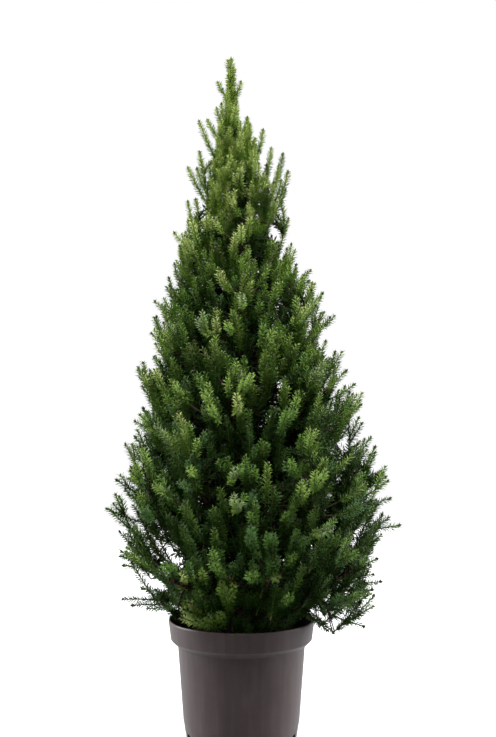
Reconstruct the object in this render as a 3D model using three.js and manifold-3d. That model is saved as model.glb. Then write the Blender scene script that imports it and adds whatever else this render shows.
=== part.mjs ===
// A dwarf white spruce in a ten-litre nursery pot: a dense cone of upright shoots round one trunk.
// Millimetres, +Z up. The origin is the centre of the pot's flat underside.
//
// The trunk stands whole from the potting mix to the foot of the leading shoot. Tiers of boughs leave
// it, each bough ends where its mass of foliage begins, and the upper tiers of foliage spring from the
// trunk itself. A mass is one stem with a dense core round it and toothed sprays of needles that stand
// out of the core. Every spray grows by one seeded rule until it meets the crown's outline, a limb, the
// pot or the space of the next mass.

import * as THREE from "three";
import { mergeVertices } from "three/addons/utils/BufferGeometryUtils.js";
import Module from "manifold-3d";

const wasm = await Module();
wasm.setup();

// ---------------------------------------------------------------- driving sizes

const GAP = 0.35; // clearance between neighbouring solids
const GOLDEN_TURN = Math.PI * (3 - Math.sqrt(5)); // the turn from one twig to the next, 137.5 degrees
const degrees = THREE.MathUtils.degToRad;

const POT = {
  height: 235,
  rimRadius: 140,
  lip: 3.5, // width of the rolled edge
  wall: 2.5,
  collarFoot: 197, // the collar's lower edge, above the ground
  collarFootRadius: 135.5,
  shoulder: 185, // where the body begins under the collar
  shoulderRadius: 122,
  waist: 44, // below this height the wall leans in faster
  waistRadius: 111.5,
  footRadius: 105,
  footRound: 5,
  floor: 4,
  sides: 36,
};
const DRAIN = { count: 8, width: 16, height: 15, sill: 8 }; // slots through the foot of the wall
const MIX = { level: 208, crown: 4, flatRadius: 32 }; // potting mix: its level, and how far its middle stands up
const GROUND = MIX.level + MIX.crown + GAP; // the flat cut under the trunk

const CROWN = {
  top: 1312,
  radius: 270,
  widest: 0.22, // share of the way from the rim to the top
  taper: 0.9,
  skirtRound: 0.32, // how slowly the outline draws in under its widest place
  fullSide: 0.08, // the +X side is this much fuller, and the -X side as much thinner
  fullSkirt: 0.12, // and its skirt draws in this much less
  underside: 232,
  droop: 18, // how much lower than that the full side hangs
  lean: -20, // of the trunk's tip, along X
};
const TRUNK = { radius: 13, flare: 7, flareHeight: 26, tipRadius: 2.6, tip: 1095, sides: 9, rings: 13 };

// One row for each tier of foliage, from the pot up: the heights its masses leave the trunk at and reach
// out to, the most sprays on a mass, how far its core spreads, its limb's radius, and the share of the
// way that is bough.
const TIERS = [
  { name: "skirt", count: 7, from: 268, tip: 362, sprays: 8, core: 105, limb: 6.5, bough: 0.4 },
  { name: "low", count: 7, from: 335, tip: 535, sprays: 8, core: 105, limb: 6.5, bough: 0.38 },
  { name: "middle", count: 6, from: 480, tip: 705, sprays: 7, core: 105, limb: 5.5, bough: 0.34 },
  { name: "shoulder", count: 5, from: 640, tip: 865, sprays: 7, core: 90, limb: 4.5, bough: 0 },
  { name: "upper", count: 4, from: 795, tip: 1010, sprays: 6, core: 62, limb: 3.6, bough: 0 },
  { name: "top", count: 3, from: 940, tip: 1130, sprays: 6, core: 38, limb: 3, bough: 0 },
];
const LEADER = { name: "leader", sprays: 6, core: 24, limb: 2.4 };
// A stem's bend, its tip's share of the outline, and how far a tier's roots are spread along the trunk.
const STEM = { rise: 0.3, out: 0.62, short: 0.93, stagger: 50 };
// The dense middle of a mass: how near its neighbours it comes, and the share of the outline it fills.
const CORE = { rings: 6, sides: 6, from: 0.06, to: 0.93, step: 5, overLimb: 1.4, gap: 4.5, outline: 0.86 };
const FLAME = [0.7, 0.95, 1, 1, 0.85, 0.55, 0]; // the core's fullness from its foot to its tip
// A spray's place, slant and length, how far its root is sunk in the core, how far it keeps from the
// mass's other sprays, and how near the outline its tip comes.
const SPRAY = {
  first: 0.12,
  last: 0.97,
  spread: degrees(50),
  tries: 40,
  longest: 118,
  shortest: 36,
  shrink: 0.88,
  sunk: 16,
  apart: 30,
  tip: 0.84,
  furthest: 1.06,
  ball: 8.5, // the clear space a spray needs all round
};
// Two rings of teeth on a slim spindle: place along the spray, and radius.
const TEETH = [
  [0, 0],
  [0.46, 13],
  [0.42, 5],
  [0.8, 10],
  [0.75, 4],
  [1, 0],
];

// ---------------------------------------------------------------- helpers

// A repeatable number from 0 to 1 for twig `k` of mass `mass`.
function chance(mass, k) {
  const wave = Math.sin(mass * 127.1 + k * 311.7) * 43758.5453;
  return wave - Math.floor(wave);
}

const mix = THREE.MathUtils.lerp;
const crownShare = (z) => (z - POT.height) / (CROWN.top - POT.height);
const outwardAt = (azimuth) => new THREE.Vector3(Math.cos(azimuth), Math.sin(azimuth), 0);

// The trunk's centre at height z: it leans, and sways a little on the way.
function trunkCentre(z) {
  const s = (z - GROUND) / (CROWN.top - GROUND);
  return new THREE.Vector3(
    CROWN.lean * s + 5 * Math.sin(2 * Math.PI * s),
    4 * Math.sin(3 * Math.PI * s),
    z,
  );
}

function trunkRadius(z) {
  const s = (z - GROUND) / (TRUNK.tip - GROUND);
  return mix(TRUNK.radius, TRUNK.tipRadius, s) + TRUNK.flare * Math.exp((GROUND - z) / TRUNK.flareHeight);
}

// The crown's outline: how far foliage reaches from the trunk at a height, on one side.
function crownRadius(z, azimuth) {
  const s = crownShare(z);
  const lean = 1 + CROWN.fullSide * Math.cos(azimuth);
  if (s >= CROWN.widest) {
    return CROWN.radius * lean * (Math.max(0, 1 - s) / (1 - CROWN.widest)) ** CROWN.taper;
  }
  const under = (CROWN.widest - s) / (CROWN.skirtRound * (1 + CROWN.fullSkirt * Math.cos(azimuth)));
  return CROWN.radius * lean * Math.sqrt(Math.max(0, 1 - under * under));
}

// Where shoots turn as they grow: outwards at the crown's foot, nearly upright at its top.
function growth(p) {
  const centre = trunkCentre(p.z);
  const out = new THREE.Vector3(p.x - centre.x, p.y - centre.y, 0).normalize();
  const share = Math.min(1, Math.max(0, crownShare(p.z)));
  const lift = mix(degrees(4), degrees(80), Math.sqrt(share));
  return out.multiplyScalar(Math.cos(lift)).setZ(Math.sin(lift));
}

// A closed triangle mesh as a solid, with doubled vertices merged and collapsed faces dropped.
function solidOf(geometry) {
  const bare = new THREE.BufferGeometry();
  bare.setAttribute("position", geometry.getAttribute("position"));
  bare.setIndex(geometry.index);
  const merged = mergeVertices(bare, 1e-3);
  const corners = merged.index.array;
  const kept = [];
  for (let i = 0; i < corners.length; i += 3) {
    const [a, b, c] = corners.slice(i, i + 3);
    if (a !== b && b !== c && c !== a) kept.push(a, b, c);
  }
  const vertProperties = new Float32Array(merged.attributes.position.array);
  return new wasm.Manifold(new wasm.Mesh({ numProp: 3, vertProperties, triVerts: new Uint32Array(kept) }));
}

function geometryOf(solid) {
  const mesh = solid.getMesh();
  const geometry = new THREE.BufferGeometry();
  geometry.setAttribute("position", new THREE.BufferAttribute(mesh.vertProperties, 3));
  geometry.setIndex(new THREE.BufferAttribute(mesh.triVerts, 1));
  return geometry;
}

// A limb, core or spray: a cylinder bent along `curve`. Each station is its place along the curve, from
// 0 to 1, and its radius there, which may depend on the direction away from the curve. A radius of 0
// makes a point. `twist` turns each ring past the last.
function limb(curve, stations, sides, twist = 0) {
  const rings = stations.length - 1;
  const geometry = new THREE.CylinderGeometry(1, 1, 1, sides, rings);
  const position = geometry.getAttribute("position");
  const aside = curve.computeFrenetFrames(rings, false).normals[0];
  const point = new THREE.Vector3();
  for (let i = 0; i < position.count; i++) {
    point.fromBufferAttribute(position, i);
    const ring = Math.round((point.y + 0.5) * rings);
    const [share, radius] = stations[ring];
    const centre = curve.getPointAt(share);
    const tangent = curve.getTangentAt(share);
    const across = new THREE.Vector3().crossVectors(tangent, aside).normalize();
    const normal = new THREE.Vector3().crossVectors(across, tangent);
    const turned = new THREE.Vector2(point.x, point.z).rotateAround(new THREE.Vector2(), twist * ring);
    const away = normal.multiplyScalar(turned.x).addScaledVector(across, -turned.y);
    const length = typeof radius === "function" ? radius(centre, away) : radius;
    centre.addScaledVector(away, length);
    position.setXYZ(i, centre.x, centre.y, centre.z);
  }
  return solidOf(geometry);
}

// The part of a bent line between two shares of it.
function stretch(curve, from, to) {
  const at = (share) => curve.getPoint(mix(from, to, share));
  const [start, half, end] = [at(0), at(0.5), at(1)];
  const pull = half.clone().multiplyScalar(2).addScaledVector(start, -0.5).addScaledVector(end, -0.5);
  return new THREE.QuadraticBezierCurve3(start, pull, end);
}

// ---------------------------------------------------------------- pot and potting mix

function potSolid() {
  const inner = (radius) => radius - POT.wall;
  const profile = [
    [0, 0],
    [POT.footRadius - POT.footRound, 0],
    [POT.footRadius, POT.footRound],
    [POT.waistRadius, POT.waist],
    [POT.shoulderRadius, POT.shoulder],
    [POT.shoulderRadius + 3, POT.shoulder + 2],
    [POT.collarFootRadius, POT.collarFoot],
    [POT.rimRadius, POT.height - 2],
    [POT.rimRadius - 1, POT.height],
    [POT.rimRadius - POT.lip, POT.height],
    [inner(POT.collarFootRadius), POT.collarFoot + 1],
    [inner(POT.shoulderRadius), POT.shoulder + 3],
    [inner(POT.waistRadius), POT.waist],
    [inner(POT.footRadius), POT.floor],
    [0, POT.floor],
  ];
  const lathe = new THREE.LatheGeometry(
    profile.map(([r, z]) => new THREE.Vector2(r, z)),
    POT.sides,
  ).rotateX(Math.PI / 2);
  let pot = solidOf(lathe);
  for (let i = 0; i < DRAIN.count; i++) {
    const slot = new THREE.BoxGeometry(40, DRAIN.width, DRAIN.height)
      .translate(POT.footRadius, 0, DRAIN.sill + DRAIN.height / 2)
      .rotateZ(((i + 0.5) * 2 * Math.PI) / DRAIN.count);
    pot = pot.subtract(solidOf(slot));
  }
  return pot;
}

// The mix fills the pot to a thumb's breadth under the rim, and stands up slightly round the trunk.
function mixSolid() {
  const clear = POT.wall + GAP;
  const collarShare = (MIX.level - POT.collarFoot) / (POT.height - POT.collarFoot);
  const edge = mix(POT.collarFootRadius, POT.rimRadius, collarShare) - clear - 1.5;
  const profile = [
    [0, POT.floor + GAP],
    [POT.footRadius - clear - 0.5, POT.floor + GAP],
    [POT.waistRadius - clear, POT.waist],
    [POT.shoulderRadius - clear, POT.shoulder + 3],
    [POT.collarFootRadius - clear - 0.5, POT.collarFoot + 2],
    [edge, MIX.level],
    [MIX.flatRadius, MIX.level + MIX.crown],
    [0, MIX.level + MIX.crown],
  ];
  const lathe = new THREE.LatheGeometry(
    profile.map(([r, z]) => new THREE.Vector2(r, z)),
    POT.sides,
  ).rotateX(Math.PI / 2);
  return solidOf(lathe);
}

// ---------------------------------------------------------------- trunk and stems

// The trunk, or the trunk with `extra` all round, for cutting its neighbours clear of it.
// It is drawn from a little below the potting mix's surface and cut off flat there.
function trunkSolid(extra = 0) {
  const heights = Array.from({ length: TRUNK.rings + 1 }, (_, i) => mix(GROUND - 10, TRUNK.tip, i / TRUNK.rings));
  const line = new THREE.CatmullRomCurve3(heights.map(trunkCentre));
  const stations = heights.map((_, i) => {
    const share = (i / TRUNK.rings) ** 1.7;
    return [share, trunkRadius(line.getPointAt(share).z) + extra];
  });
  const below = new THREE.BoxGeometry(100, 100, 40).translate(0, 0, GROUND - 20);
  return limb(line, stations, TRUNK.sides).subtract(solidOf(below));
}

// Every mass of foliage: the bent line from the trunk to its tip, and the share of it that is bough.
function massesOfTheCrown() {
  const masses = [];
  TIERS.forEach((tier, row) => {
    for (let i = 0; i < tier.count; i++) {
      const seed = masses.length + 1;
      const wobble = 0.25 * (chance(seed, 1) - 0.5);
      const azimuth = ((i + 0.5 * row + wobble) * 2 * Math.PI) / tier.count + 0.35;
      const from = tier.from + STEM.stagger * (((i * 3) % tier.count) / tier.count - 0.5);
      const tipHeight = tier.tip + 44 * (chance(seed, 3) - 0.5);
      const out = outwardAt(azimuth);
      const root = trunkCentre(from);
      const tip = trunkCentre(tipHeight);
      tip.addScaledVector(out, STEM.short * crownRadius(tipHeight, azimuth));
      const bend = root.clone().lerp(tip, STEM.out).setZ(mix(from, tipHeight, STEM.rise));
      const line = new THREE.QuadraticBezierCurve3(root, bend, tip);
      const start = tier.bough || (trunkRadius(from) - 1) / line.getLength();
      masses.push({ ...tier, seed, label: `${tier.name}_${i + 1}`, line, start, foliage: stretch(line, start, 1) });
    }
  });
  const root = trunkCentre(TRUNK.tip + GAP);
  const tip = trunkCentre(CROWN.top);
  const line = new THREE.QuadraticBezierCurve3(root, root.clone().lerp(tip, 0.5), tip);
  masses.push({ ...LEADER, seed: masses.length + 1, label: LEADER.name, line, start: 0, foliage: line });
  return masses;
}

const masses = massesOfTheCrown();
for (const mass of masses) mass.spine = mass.foliage.getPoints(8);

// A bough tapers from the trunk to where its foliage begins.
function boughSolid(mass, fatTrunk) {
  const line = stretch(mass.line, 0, mass.start - (2 * GAP) / mass.line.getLength());
  const stations = [0, 0.5, 1].map((share) => [share, mass.limb * (1.25 - 0.45 * share)]);
  return limb(line, stations, 5).subtract(fatTrunk);
}

// ---------------------------------------------------------------- the space each mass keeps

const nearest = new THREE.Vector3();
const segment = new THREE.Line3();

function distanceTo(p, points) {
  let least = Infinity;
  for (let i = 1; i < points.length; i++) {
    segment.set(points[i - 1], points[i]).closestPointToPoint(p, true, nearest);
    least = Math.min(least, nearest.distanceTo(p));
  }
  return least;
}

const boughs = masses.filter((mass) => mass.bough).map((mass) => ({
  radius: mass.limb * 1.25,
  spine: stretch(mass.line, 0, mass.start).getPoints(6),
}));

// How far p is from the nearest other stem.
function distanceToOthers(mass, p) {
  return Math.min(...masses.filter((other) => other !== mass).map((other) => distanceTo(p, other.spine)));
}

// How far out p is, as a share of the crown's outline there.
function outlineShare(p) {
  const centre = trunkCentre(p.z);
  const [x, y] = [p.x - centre.x, p.y - centre.y];
  return p.z < CROWN.top ? Math.hypot(x, y) / crownRadius(p.z, Math.atan2(y, x)) : Infinity;
}

// Whether a ball at p keeps to the mass's own space, inside a share of the outline and off pot and limbs.
function fits(mass, p, ball, outline) {
  if (outlineShare(p) > outline) return false;
  const fromAxis = Math.hypot(p.x, p.y);
  const overPot = fromAxis < POT.rimRadius + ball + 2;
  const underside = CROWN.underside - (CROWN.droop * p.x) / fromAxis;
  if (p.z < (overPot ? POT.height + ball + 2 : underside)) return false;
  if (p.z < TRUNK.tip && trunkCentre(p.z).distanceTo(p) < trunkRadius(p.z) + ball) return false;
  const own = distanceTo(p, mass.spine);
  if (distanceToOthers(mass, p) < own + 2 * ball) return false;
  return boughs.every((bough) => distanceTo(p, bough.spine) > bough.radius + ball);
}

// How far the core's surface lies from a point of the stem, in one direction.
function coreReach(mass, centre, away, fullest) {
  let reach = CORE.overLimb * mass.limb;
  const ahead = () => centre.clone().addScaledVector(away, reach + CORE.step);
  while (reach < fullest && fits(mass, ahead(), CORE.gap, CORE.outline)) reach += CORE.step;
  return reach;
}

// ---------------------------------------------------------------- foliage

// A direction at `spread` from a line's own, turned round it.
function leaving(tangent, spread, turn) {
  const aside = Math.abs(tangent.z) < 0.9 ? new THREE.Vector3(0, 0, 1) : new THREE.Vector3(1, 0, 0);
  const across = new THREE.Vector3().crossVectors(tangent, aside).normalize();
  const other = new THREE.Vector3().crossVectors(tangent, across);
  const away = across.multiplyScalar(Math.cos(turn)).addScaledVector(other, Math.sin(turn));
  return tangent.clone().multiplyScalar(Math.cos(spread)).addScaledVector(away, Math.sin(spread)).normalize();
}

// A spray's bent line: it leaves the core along `start` and turns the way the crown grows.
function sprayLine(root, start, length) {
  const turn = root.clone().addScaledVector(start, length * 0.45);
  const end = start.clone().multiplyScalar(0.3).addScaledVector(growth(turn), 0.7).normalize();
  return new THREE.QuadraticBezierCurve3(root, turn, turn.clone().addScaledVector(end, length * 0.55));
}

// The longest line by the rule that fits, or null where even the shortest leaves its space.
function longestThatFits(mass, root, start, outline) {
  for (let length = SPRAY.longest; length > SPRAY.shortest; length *= SPRAY.shrink) {
    const line = sprayLine(root, start, length);
    const places = [0.4, 0.6, 0.8, 1].map((share) => line.getPoint(share));
    if (places.every((p) => fits(mass, p, SPRAY.ball, outline))) return line;
  }
  return null;
}

function stemSolid(mass) {
  const thick = mass.limb * (mass.bough ? 0.78 : 1);
  const stations = [
    [0, thick],
    [0.4, thick * 0.7],
    [0.92, 9],
    [0.88, 4],
    [1, 0],
  ];
  return limb(mass.foliage, stations, 4);
}

// The dense middle of a mass fills its own space round the stem, as far as the flame shape lets it.
function coreSolid(mass) {
  const stations = FLAME.map((fullness, i) => {
    const share = mix(CORE.from, CORE.to, i / CORE.rings);
    const fullest = fullness * mass.core;
    return [share, (centre, away) => (fullness ? coreReach(mass, centre, away, fullest) : 0)];
  });
  return limb(mass.foliage, stations, CORE.sides, degrees(20));
}

// Sprays stand out of the core where their tips come near the crown's outline. Those that would end in
// the shade inside the crown, or crowd another spray, don't grow.
function spraysOf(mass) {
  const sprays = [];
  for (let k = 0; k < SPRAY.tries && sprays.length < mass.sprays; k++) {
    const along = mix(SPRAY.first, SPRAY.last, chance(mass.seed, 10 + k));
    const foot = mass.foliage.getPointAt(along);
    const spread = SPRAY.spread * (0.6 + 0.8 * chance(mass.seed, 100 + k));
    const start = leaving(mass.foliage.getTangentAt(along), spread, k * GOLDEN_TURN + mass.seed);
    const sunk = coreReach(mass, foot, start, mass.core) - SPRAY.sunk;
    const root = foot.addScaledVector(start, Math.max(0, sunk));
    const line = longestThatFits(mass, root, start, mix(0.96, SPRAY.furthest, chance(mass.seed, 70 + k)));
    if (!line || outlineShare(line.v2) < SPRAY.tip) continue;
    if (sprays.every((other) => distanceTo(line.v2, [other.v0, other.v2]) > SPRAY.apart)) sprays.push(line);
  }
  return sprays;
}

function spraySolid(line, extra = 0) {
  const stations = TEETH.map(([share, radius]) => [share, radius && radius + extra]);
  return limb(line, stations, 3, degrees(75));
}

// Fuses each mass's sprays to its middle. A spray that would touch any other solid is skipped.
function crownSolids(limbs, fatTrunk) {
  const solids = masses.map((mass) => stemSolid(mass).add(coreSolid(mass)).subtract(fatTrunk));
  masses.forEach((mass, own) => {
    for (const line of spraysOf(mass)) {
      const roomy = spraySolid(line, GAP);
      const others = solids.filter((_, i) => i !== own).concat(limbs);
      if (others.every((other) => other.intersect(roomy).isEmpty())) solids[own] = solids[own].add(spraySolid(line));
    }
  });
  return solids.map(largestBody);
}

// The largest body of a solid: scraps that a cut left loose and hollows sealed inside it are dropped.
function largestBody(solid) {
  return solid.decompose().reduce((largest, body) => (body.volume() > largest.volume() ? body : largest));
}

// ---------------------------------------------------------------- the object

const finishes = {
  plastic: new THREE.MeshStandardMaterial({ color: 0x6b6263, roughness: 0.45, metalness: 0 }),
  mix: new THREE.MeshStandardMaterial({ color: 0x2b211a, roughness: 0.95, metalness: 0 }),
  bark: new THREE.MeshStandardMaterial({ color: 0x6e4f36, roughness: 0.85, metalness: 0 }),
  needles: new THREE.MeshStandardMaterial({ color: 0x4c6b2c, roughness: 0.55, metalness: 0 }),
};

const plant = new THREE.Group();

function add(name, solid, finish) {
  const mesh = new THREE.Mesh(geometryOf(solid), finish);
  mesh.name = name;
  plant.add(mesh);
}

const fatTrunk = trunkSolid(GAP);
const pot = potSolid();
const trunk = trunkSolid();
const limbed = masses.filter((mass) => mass.bough);
const boughSolids = limbed.map((mass) => boughSolid(mass, fatTrunk));
const crown = crownSolids([pot, trunk, ...boughSolids], fatTrunk);
add("pot", pot, finishes.plastic);
add("potting_mix", mixSolid(), finishes.mix);
add("trunk", trunk, finishes.bark);
limbed.forEach((mass, i) => add(`bough_${mass.label}`, boughSolids[i], finishes.bark));
masses.forEach((mass, i) => add(`foliage_${mass.label}`, crown[i], finishes.needles));

export default plant;
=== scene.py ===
# %% [markdown]
# # A dwarf white spruce in its nursery pot
# This lesson dresses a measured plant: a dense cone of short, upright shoots round one straight trunk,
# in a ten-litre plastic pot. The measured solids give the size, the limbs and the space that each mass
# of foliage keeps. Here every mass becomes twigs and needles, and the limbs, the pot and the potting
# mix get the surfaces of the real ones. Sizes are in millimetres, and become metres in the last step.

# %% The measured frame
import math

import bmesh
import bpy
import numpy as np
from mathutils import Matrix, Vector, noise


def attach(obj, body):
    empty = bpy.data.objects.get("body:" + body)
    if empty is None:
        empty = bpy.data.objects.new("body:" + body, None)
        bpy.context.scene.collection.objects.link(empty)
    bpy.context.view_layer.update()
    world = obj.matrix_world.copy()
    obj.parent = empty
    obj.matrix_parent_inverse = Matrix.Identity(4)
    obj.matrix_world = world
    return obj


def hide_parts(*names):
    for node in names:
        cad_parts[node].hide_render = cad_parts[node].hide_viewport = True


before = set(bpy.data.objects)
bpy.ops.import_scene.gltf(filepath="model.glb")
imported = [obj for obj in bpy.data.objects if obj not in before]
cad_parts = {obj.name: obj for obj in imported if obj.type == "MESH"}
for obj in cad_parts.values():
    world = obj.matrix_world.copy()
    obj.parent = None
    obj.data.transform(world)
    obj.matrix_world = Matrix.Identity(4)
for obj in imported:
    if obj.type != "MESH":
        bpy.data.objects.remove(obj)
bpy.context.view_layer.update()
MM = 0.001
scene = bpy.context.scene

# %% [markdown]
# ## Camera
# A level camera keeps the trunk and the pot's sides upright, as a catalogue picture does. It stands a
# little above half of the plant's height, so it looks down on the pot's rim and up at the leader.

# %% Camera
EYE_ASIDE, EYE_DISTANCE, EYE_HEIGHT = 12.5, 2340, 714
camera = bpy.data.objects.new("camera", bpy.data.cameras.new("camera"))
camera.data.sensor_width = 36
camera.data.lens = 59.5
camera.location = (EYE_ASIDE * MM, -EYE_DISTANCE * MM, EYE_HEIGHT * MM)
camera.rotation_euler = (math.radians(90), 0, 0)
scene.collection.objects.link(camera)
scene.camera = camera
scene.view_settings.view_transform = "Standard"
print("camera", round(camera.location.length, 2), "m from the pot's foot")

# %% [markdown]
# ## Nodes and colours
# The sky and every finish are small trees of nodes, so one helper adds a node: it makes the settings,
# sets or links the inputs and, on a colour ramp, places the stops. Colours are given as sRGB hex codes,
# as a screen shows them. Blender works in linear light, so a second helper turns them.

# %% A node with its settings and links
def node(tree, kind, inputs=None, stops=(), **settings):
    """A node. A socket among its inputs is linked; the stops of a ramp are (place, colour) pairs."""
    made = tree.nodes.new("ShaderNode" + kind)
    for name, value in settings.items():
        setattr(made, name, value)
    for name, value in (inputs or {}).items():
        if isinstance(value, bpy.types.NodeSocket):
            tree.links.new(value, made.inputs[name])
        else:
            made.inputs[name].default_value = value
    for i, (place, colour) in enumerate(stops):
        stop = made.color_ramp.elements[i] if i < 2 else made.color_ramp.elements.new(place)
        stop.position = place
        stop.color = colour
    return made


def linear(code):
    """An sRGB hex colour as linear red, green, blue and alpha."""
    parts = [int(code[i : i + 2], 16) / 255 for i in (1, 3, 5)]
    return [p / 12.92 if p <= 0.04045 else ((p + 0.055) / 1.055) ** 2.4 for p in parts] + [1.0]


print("white is", linear("#FFFFFF"))

# %% [markdown]
# ## Soft boxes
# Large soft boxes above the plant and behind each shoulder light the tips and the pot's sides. Only a
# weak one faces it, so the middle of the pot and the hollows of the crown stay dark. An area light is a
# soft box: the larger it is, the softer its shadows. It shines along its own -Z, which is turned to
# what it aims at.

# %% Soft boxes
def softbox(name, place, aim, size, watts):
    """A lamp with a broad face that looks from its place to what it aims at, in metres."""
    light = bpy.data.lights.new(name, "AREA")
    light.shape = "RECTANGLE"
    light.size, light.size_y = size
    light.energy = watts
    holder = bpy.data.objects.new(name, light)
    holder.location = place
    holder.rotation_euler = (Vector(aim) - Vector(place)).to_track_quat("-Z", "Y").to_euler()
    scene.collection.objects.link(holder)
    print(name, watts, "W")


CROWN_MIDDLE = (0, 0, 0.6)
softbox("overhead", (0, -0.7, 2.9), CROWN_MIDDLE, size=(2.0, 2.0), watts=84)
softbox("left_shoulder", (-2.2, 0.55, 1.0), CROWN_MIDDLE, size=(1.0, 2.2), watts=44)
softbox("right_shoulder", (2.2, 0.55, 1.0), CROWN_MIDDLE, size=(1.0, 2.2), watts=44)
softbox("front_fill", (-0.7, -3.4, 2.0), (0, 0, 0.7), size=(1.4, 1.4), watts=4)

# %% [markdown]
# ## Sky and floor
# The plant stands on a white studio floor under a sky that is plain white to the eye. As a light the sky
# is bright behind the plant and dim in front of it: a gradient along Y gives that, and a mix by the kind
# of ray keeps the two apart. The floor glows, as a board that is lit from below does, but sends no light
# up into the crown.

# %% Sky
DIM_FRONT, BRIGHT_BACK = (0.04, 0.04, 0.042, 1), (0.8, 0.82, 0.85, 1)
sky = bpy.data.worlds.new("studio")
sky.use_nodes = True
sky.node_tree.nodes.clear()
way = node(sky.node_tree, "TexCoord").outputs["Generated"]
depth = node(sky.node_tree, "SeparateXYZ", {"Vector": way}).outputs["Y"]
span = node(sky.node_tree, "MapRange", {"Value": depth, "From Min": -1.0, "From Max": 0.6})
glow = node(sky.node_tree, "ValToRGB", {"Fac": span.outputs["Result"]}, [(0, DIM_FRONT), (1, BRIGHT_BACK)])
lit = node(sky.node_tree, "Background", {"Color": glow.outputs["Color"], "Strength": 0.9})
seen = node(sky.node_tree, "Background", {"Color": (1, 1, 1, 1), "Strength": 1.0})
eye = node(sky.node_tree, "LightPath").outputs["Is Camera Ray"]
both = node(sky.node_tree, "MixShader", {"Fac": eye})
sky.node_tree.links.new(lit.outputs[0], both.inputs[1])
sky.node_tree.links.new(seen.outputs[0], both.inputs[2])
node(sky.node_tree, "OutputWorld", {"Surface": both.outputs[0]})
scene.world = sky
print("sky", len(sky.node_tree.nodes), "nodes")

# %% Floor
FLOOR_RADIUS = 3.2
white_board = bpy.data.materials.new("white_studio_board")
white_board.use_nodes = True
board = white_board.node_tree.nodes["Principled BSDF"]
board.inputs["Base Color"].default_value = linear("#F4F4F2")
board.inputs["Roughness"].default_value = 0.7
board.inputs["Emission Color"].default_value = (1, 1, 1, 1)
board.inputs["Emission Strength"].default_value = 0.7
bm = bmesh.new()
bmesh.ops.create_circle(bm, cap_ends=True, segments=96, radius=FLOOR_RADIUS)
floor_mesh = bpy.data.meshes.new("studio_floor")
bm.to_mesh(floor_mesh)
bm.free()
floor_mesh.materials.append(white_board)
floor = bpy.data.objects.new("studio_floor", floor_mesh)
scene.collection.objects.link(floor)
floor.visible_diffuse = False
floor.visible_glossy = False
print("floor radius", FLOOR_RADIUS, "m")

# %% [markdown]
# ## Handing a piece over
# Each finished piece rides on the plant's one body, takes its finish and hides the measured solids it
# stands for. A piece that is made from a bmesh is drawn in millimetres and scaled once.

# %% Helpers that finish a piece
made_pieces = []
BEVEL = dict(profile=0.5, affect="EDGES", material=-1)


def hand_over(name, mesh, finish, nodes):
    """The mesh as a piece of the plant that stands for some measured nodes."""
    mesh.name = name
    mesh.materials.clear()
    mesh.materials.append(finish)
    piece = bpy.data.objects.new(name, mesh)
    scene.collection.objects.link(piece)
    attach(piece, "root")
    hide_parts(*nodes)
    made_pieces.append(piece)
    faces = sum(len(face.vertices) - 2 for face in mesh.polygons)
    print(name, faces, "triangles")


def mesh_of(bm, smooth=True):
    """The mesh of a bmesh that was drawn in millimetres."""
    bmesh.ops.scale(bm, vec=(MM, MM, MM), verts=bm.verts)
    for face in bm.faces:
        face.smooth = smooth
    mesh = bpy.data.meshes.new("piece")
    bm.to_mesh(mesh)
    bm.free()
    return mesh


def spun(profile, steps, rounded=0.0):
    """A closed (radius, height) profile spun round the Z axis, with its sharp rings rounded."""
    bm = bmesh.new()
    points = [bm.verts.new((radius, 0, height)) for radius, height in profile]
    edges = [bm.edges.new(pair) for pair in zip(points, points[1:])]
    circle = dict(cent=(0, 0, 0), axis=(0, 0, 1), angle=2 * math.pi)
    bmesh.ops.spin(bm, geom=points + edges, steps=steps, use_merge=True, **circle)
    bmesh.ops.remove_doubles(bm, verts=bm.verts, dist=0.001)
    bmesh.ops.recalc_face_normals(bm, faces=bm.faces)
    if rounded:
        sharp = [e for e in bm.edges if len(e.link_faces) == 2 and e.calc_face_angle(0) > math.radians(20)]
        bmesh.ops.bevel(bm, geom=sharp, offset=rounded, segments=3, clamp_overlap=True, **BEVEL)
    return bm


# %% [markdown]
# ## The pot
# A nursery pot of this size is moulded from recycled polypropylene: a thin tapering wall, a deep collar
# that stiffens the top, a rolled lip, and drain slots through the foot. A round thing like this is
# quickest to make by spinning half of its section. The slots are cut with one Boolean, as the mould's
# cores leave them.

# %% The pot's sizes
POT = dict(height=235, rim=140, lip=3.5, wall=2.5, collar_foot=197, collar_foot_radius=135.5)
POT.update(shoulder=185, shoulder_radius=122, waist=44, waist_radius=111.5, foot=105, round=5, floor=4)
DRAIN = dict(count=8, depth=40, width=16, height=15, sill=8, corner=3)
MIX = dict(level=208, crown=4, flat=32)
GAP = 0.35
GROUND = MIX["level"] + MIX["crown"] + GAP


def inner(radius):
    return radius - POT["wall"]


# The small steps below are the groove under the foot, the collar's shoulder and the rolled lip.
POT_SECTION = [
    (0, 0),
    (POT["foot"] - 14, 0),
    (POT["foot"] - 12, 1.2),
    (POT["foot"] - POT["round"], 0),
    (POT["foot"], POT["round"]),
    (POT["waist_radius"], POT["waist"]),
    (POT["shoulder_radius"], POT["shoulder"]),
    (POT["shoulder_radius"] + 3, POT["shoulder"] + 2),
    (POT["collar_foot_radius"], POT["collar_foot"]),
    (POT["rim"], POT["height"] - 3),
    (POT["rim"] - 0.6, POT["height"] - 0.8),
    (POT["rim"] - 1.8, POT["height"]),
    (POT["rim"] - POT["lip"], POT["height"] - 0.6),
    (POT["rim"] - POT["lip"] - 0.6, POT["height"] - 4),
    (inner(POT["collar_foot_radius"]), POT["collar_foot"] + 1),
    (inner(POT["shoulder_radius"]), POT["shoulder"] + 3),
    (inner(POT["waist_radius"]), POT["waist"]),
    (inner(POT["foot"]), POT["floor"]),
    (0, POT["floor"]),
]
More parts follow.
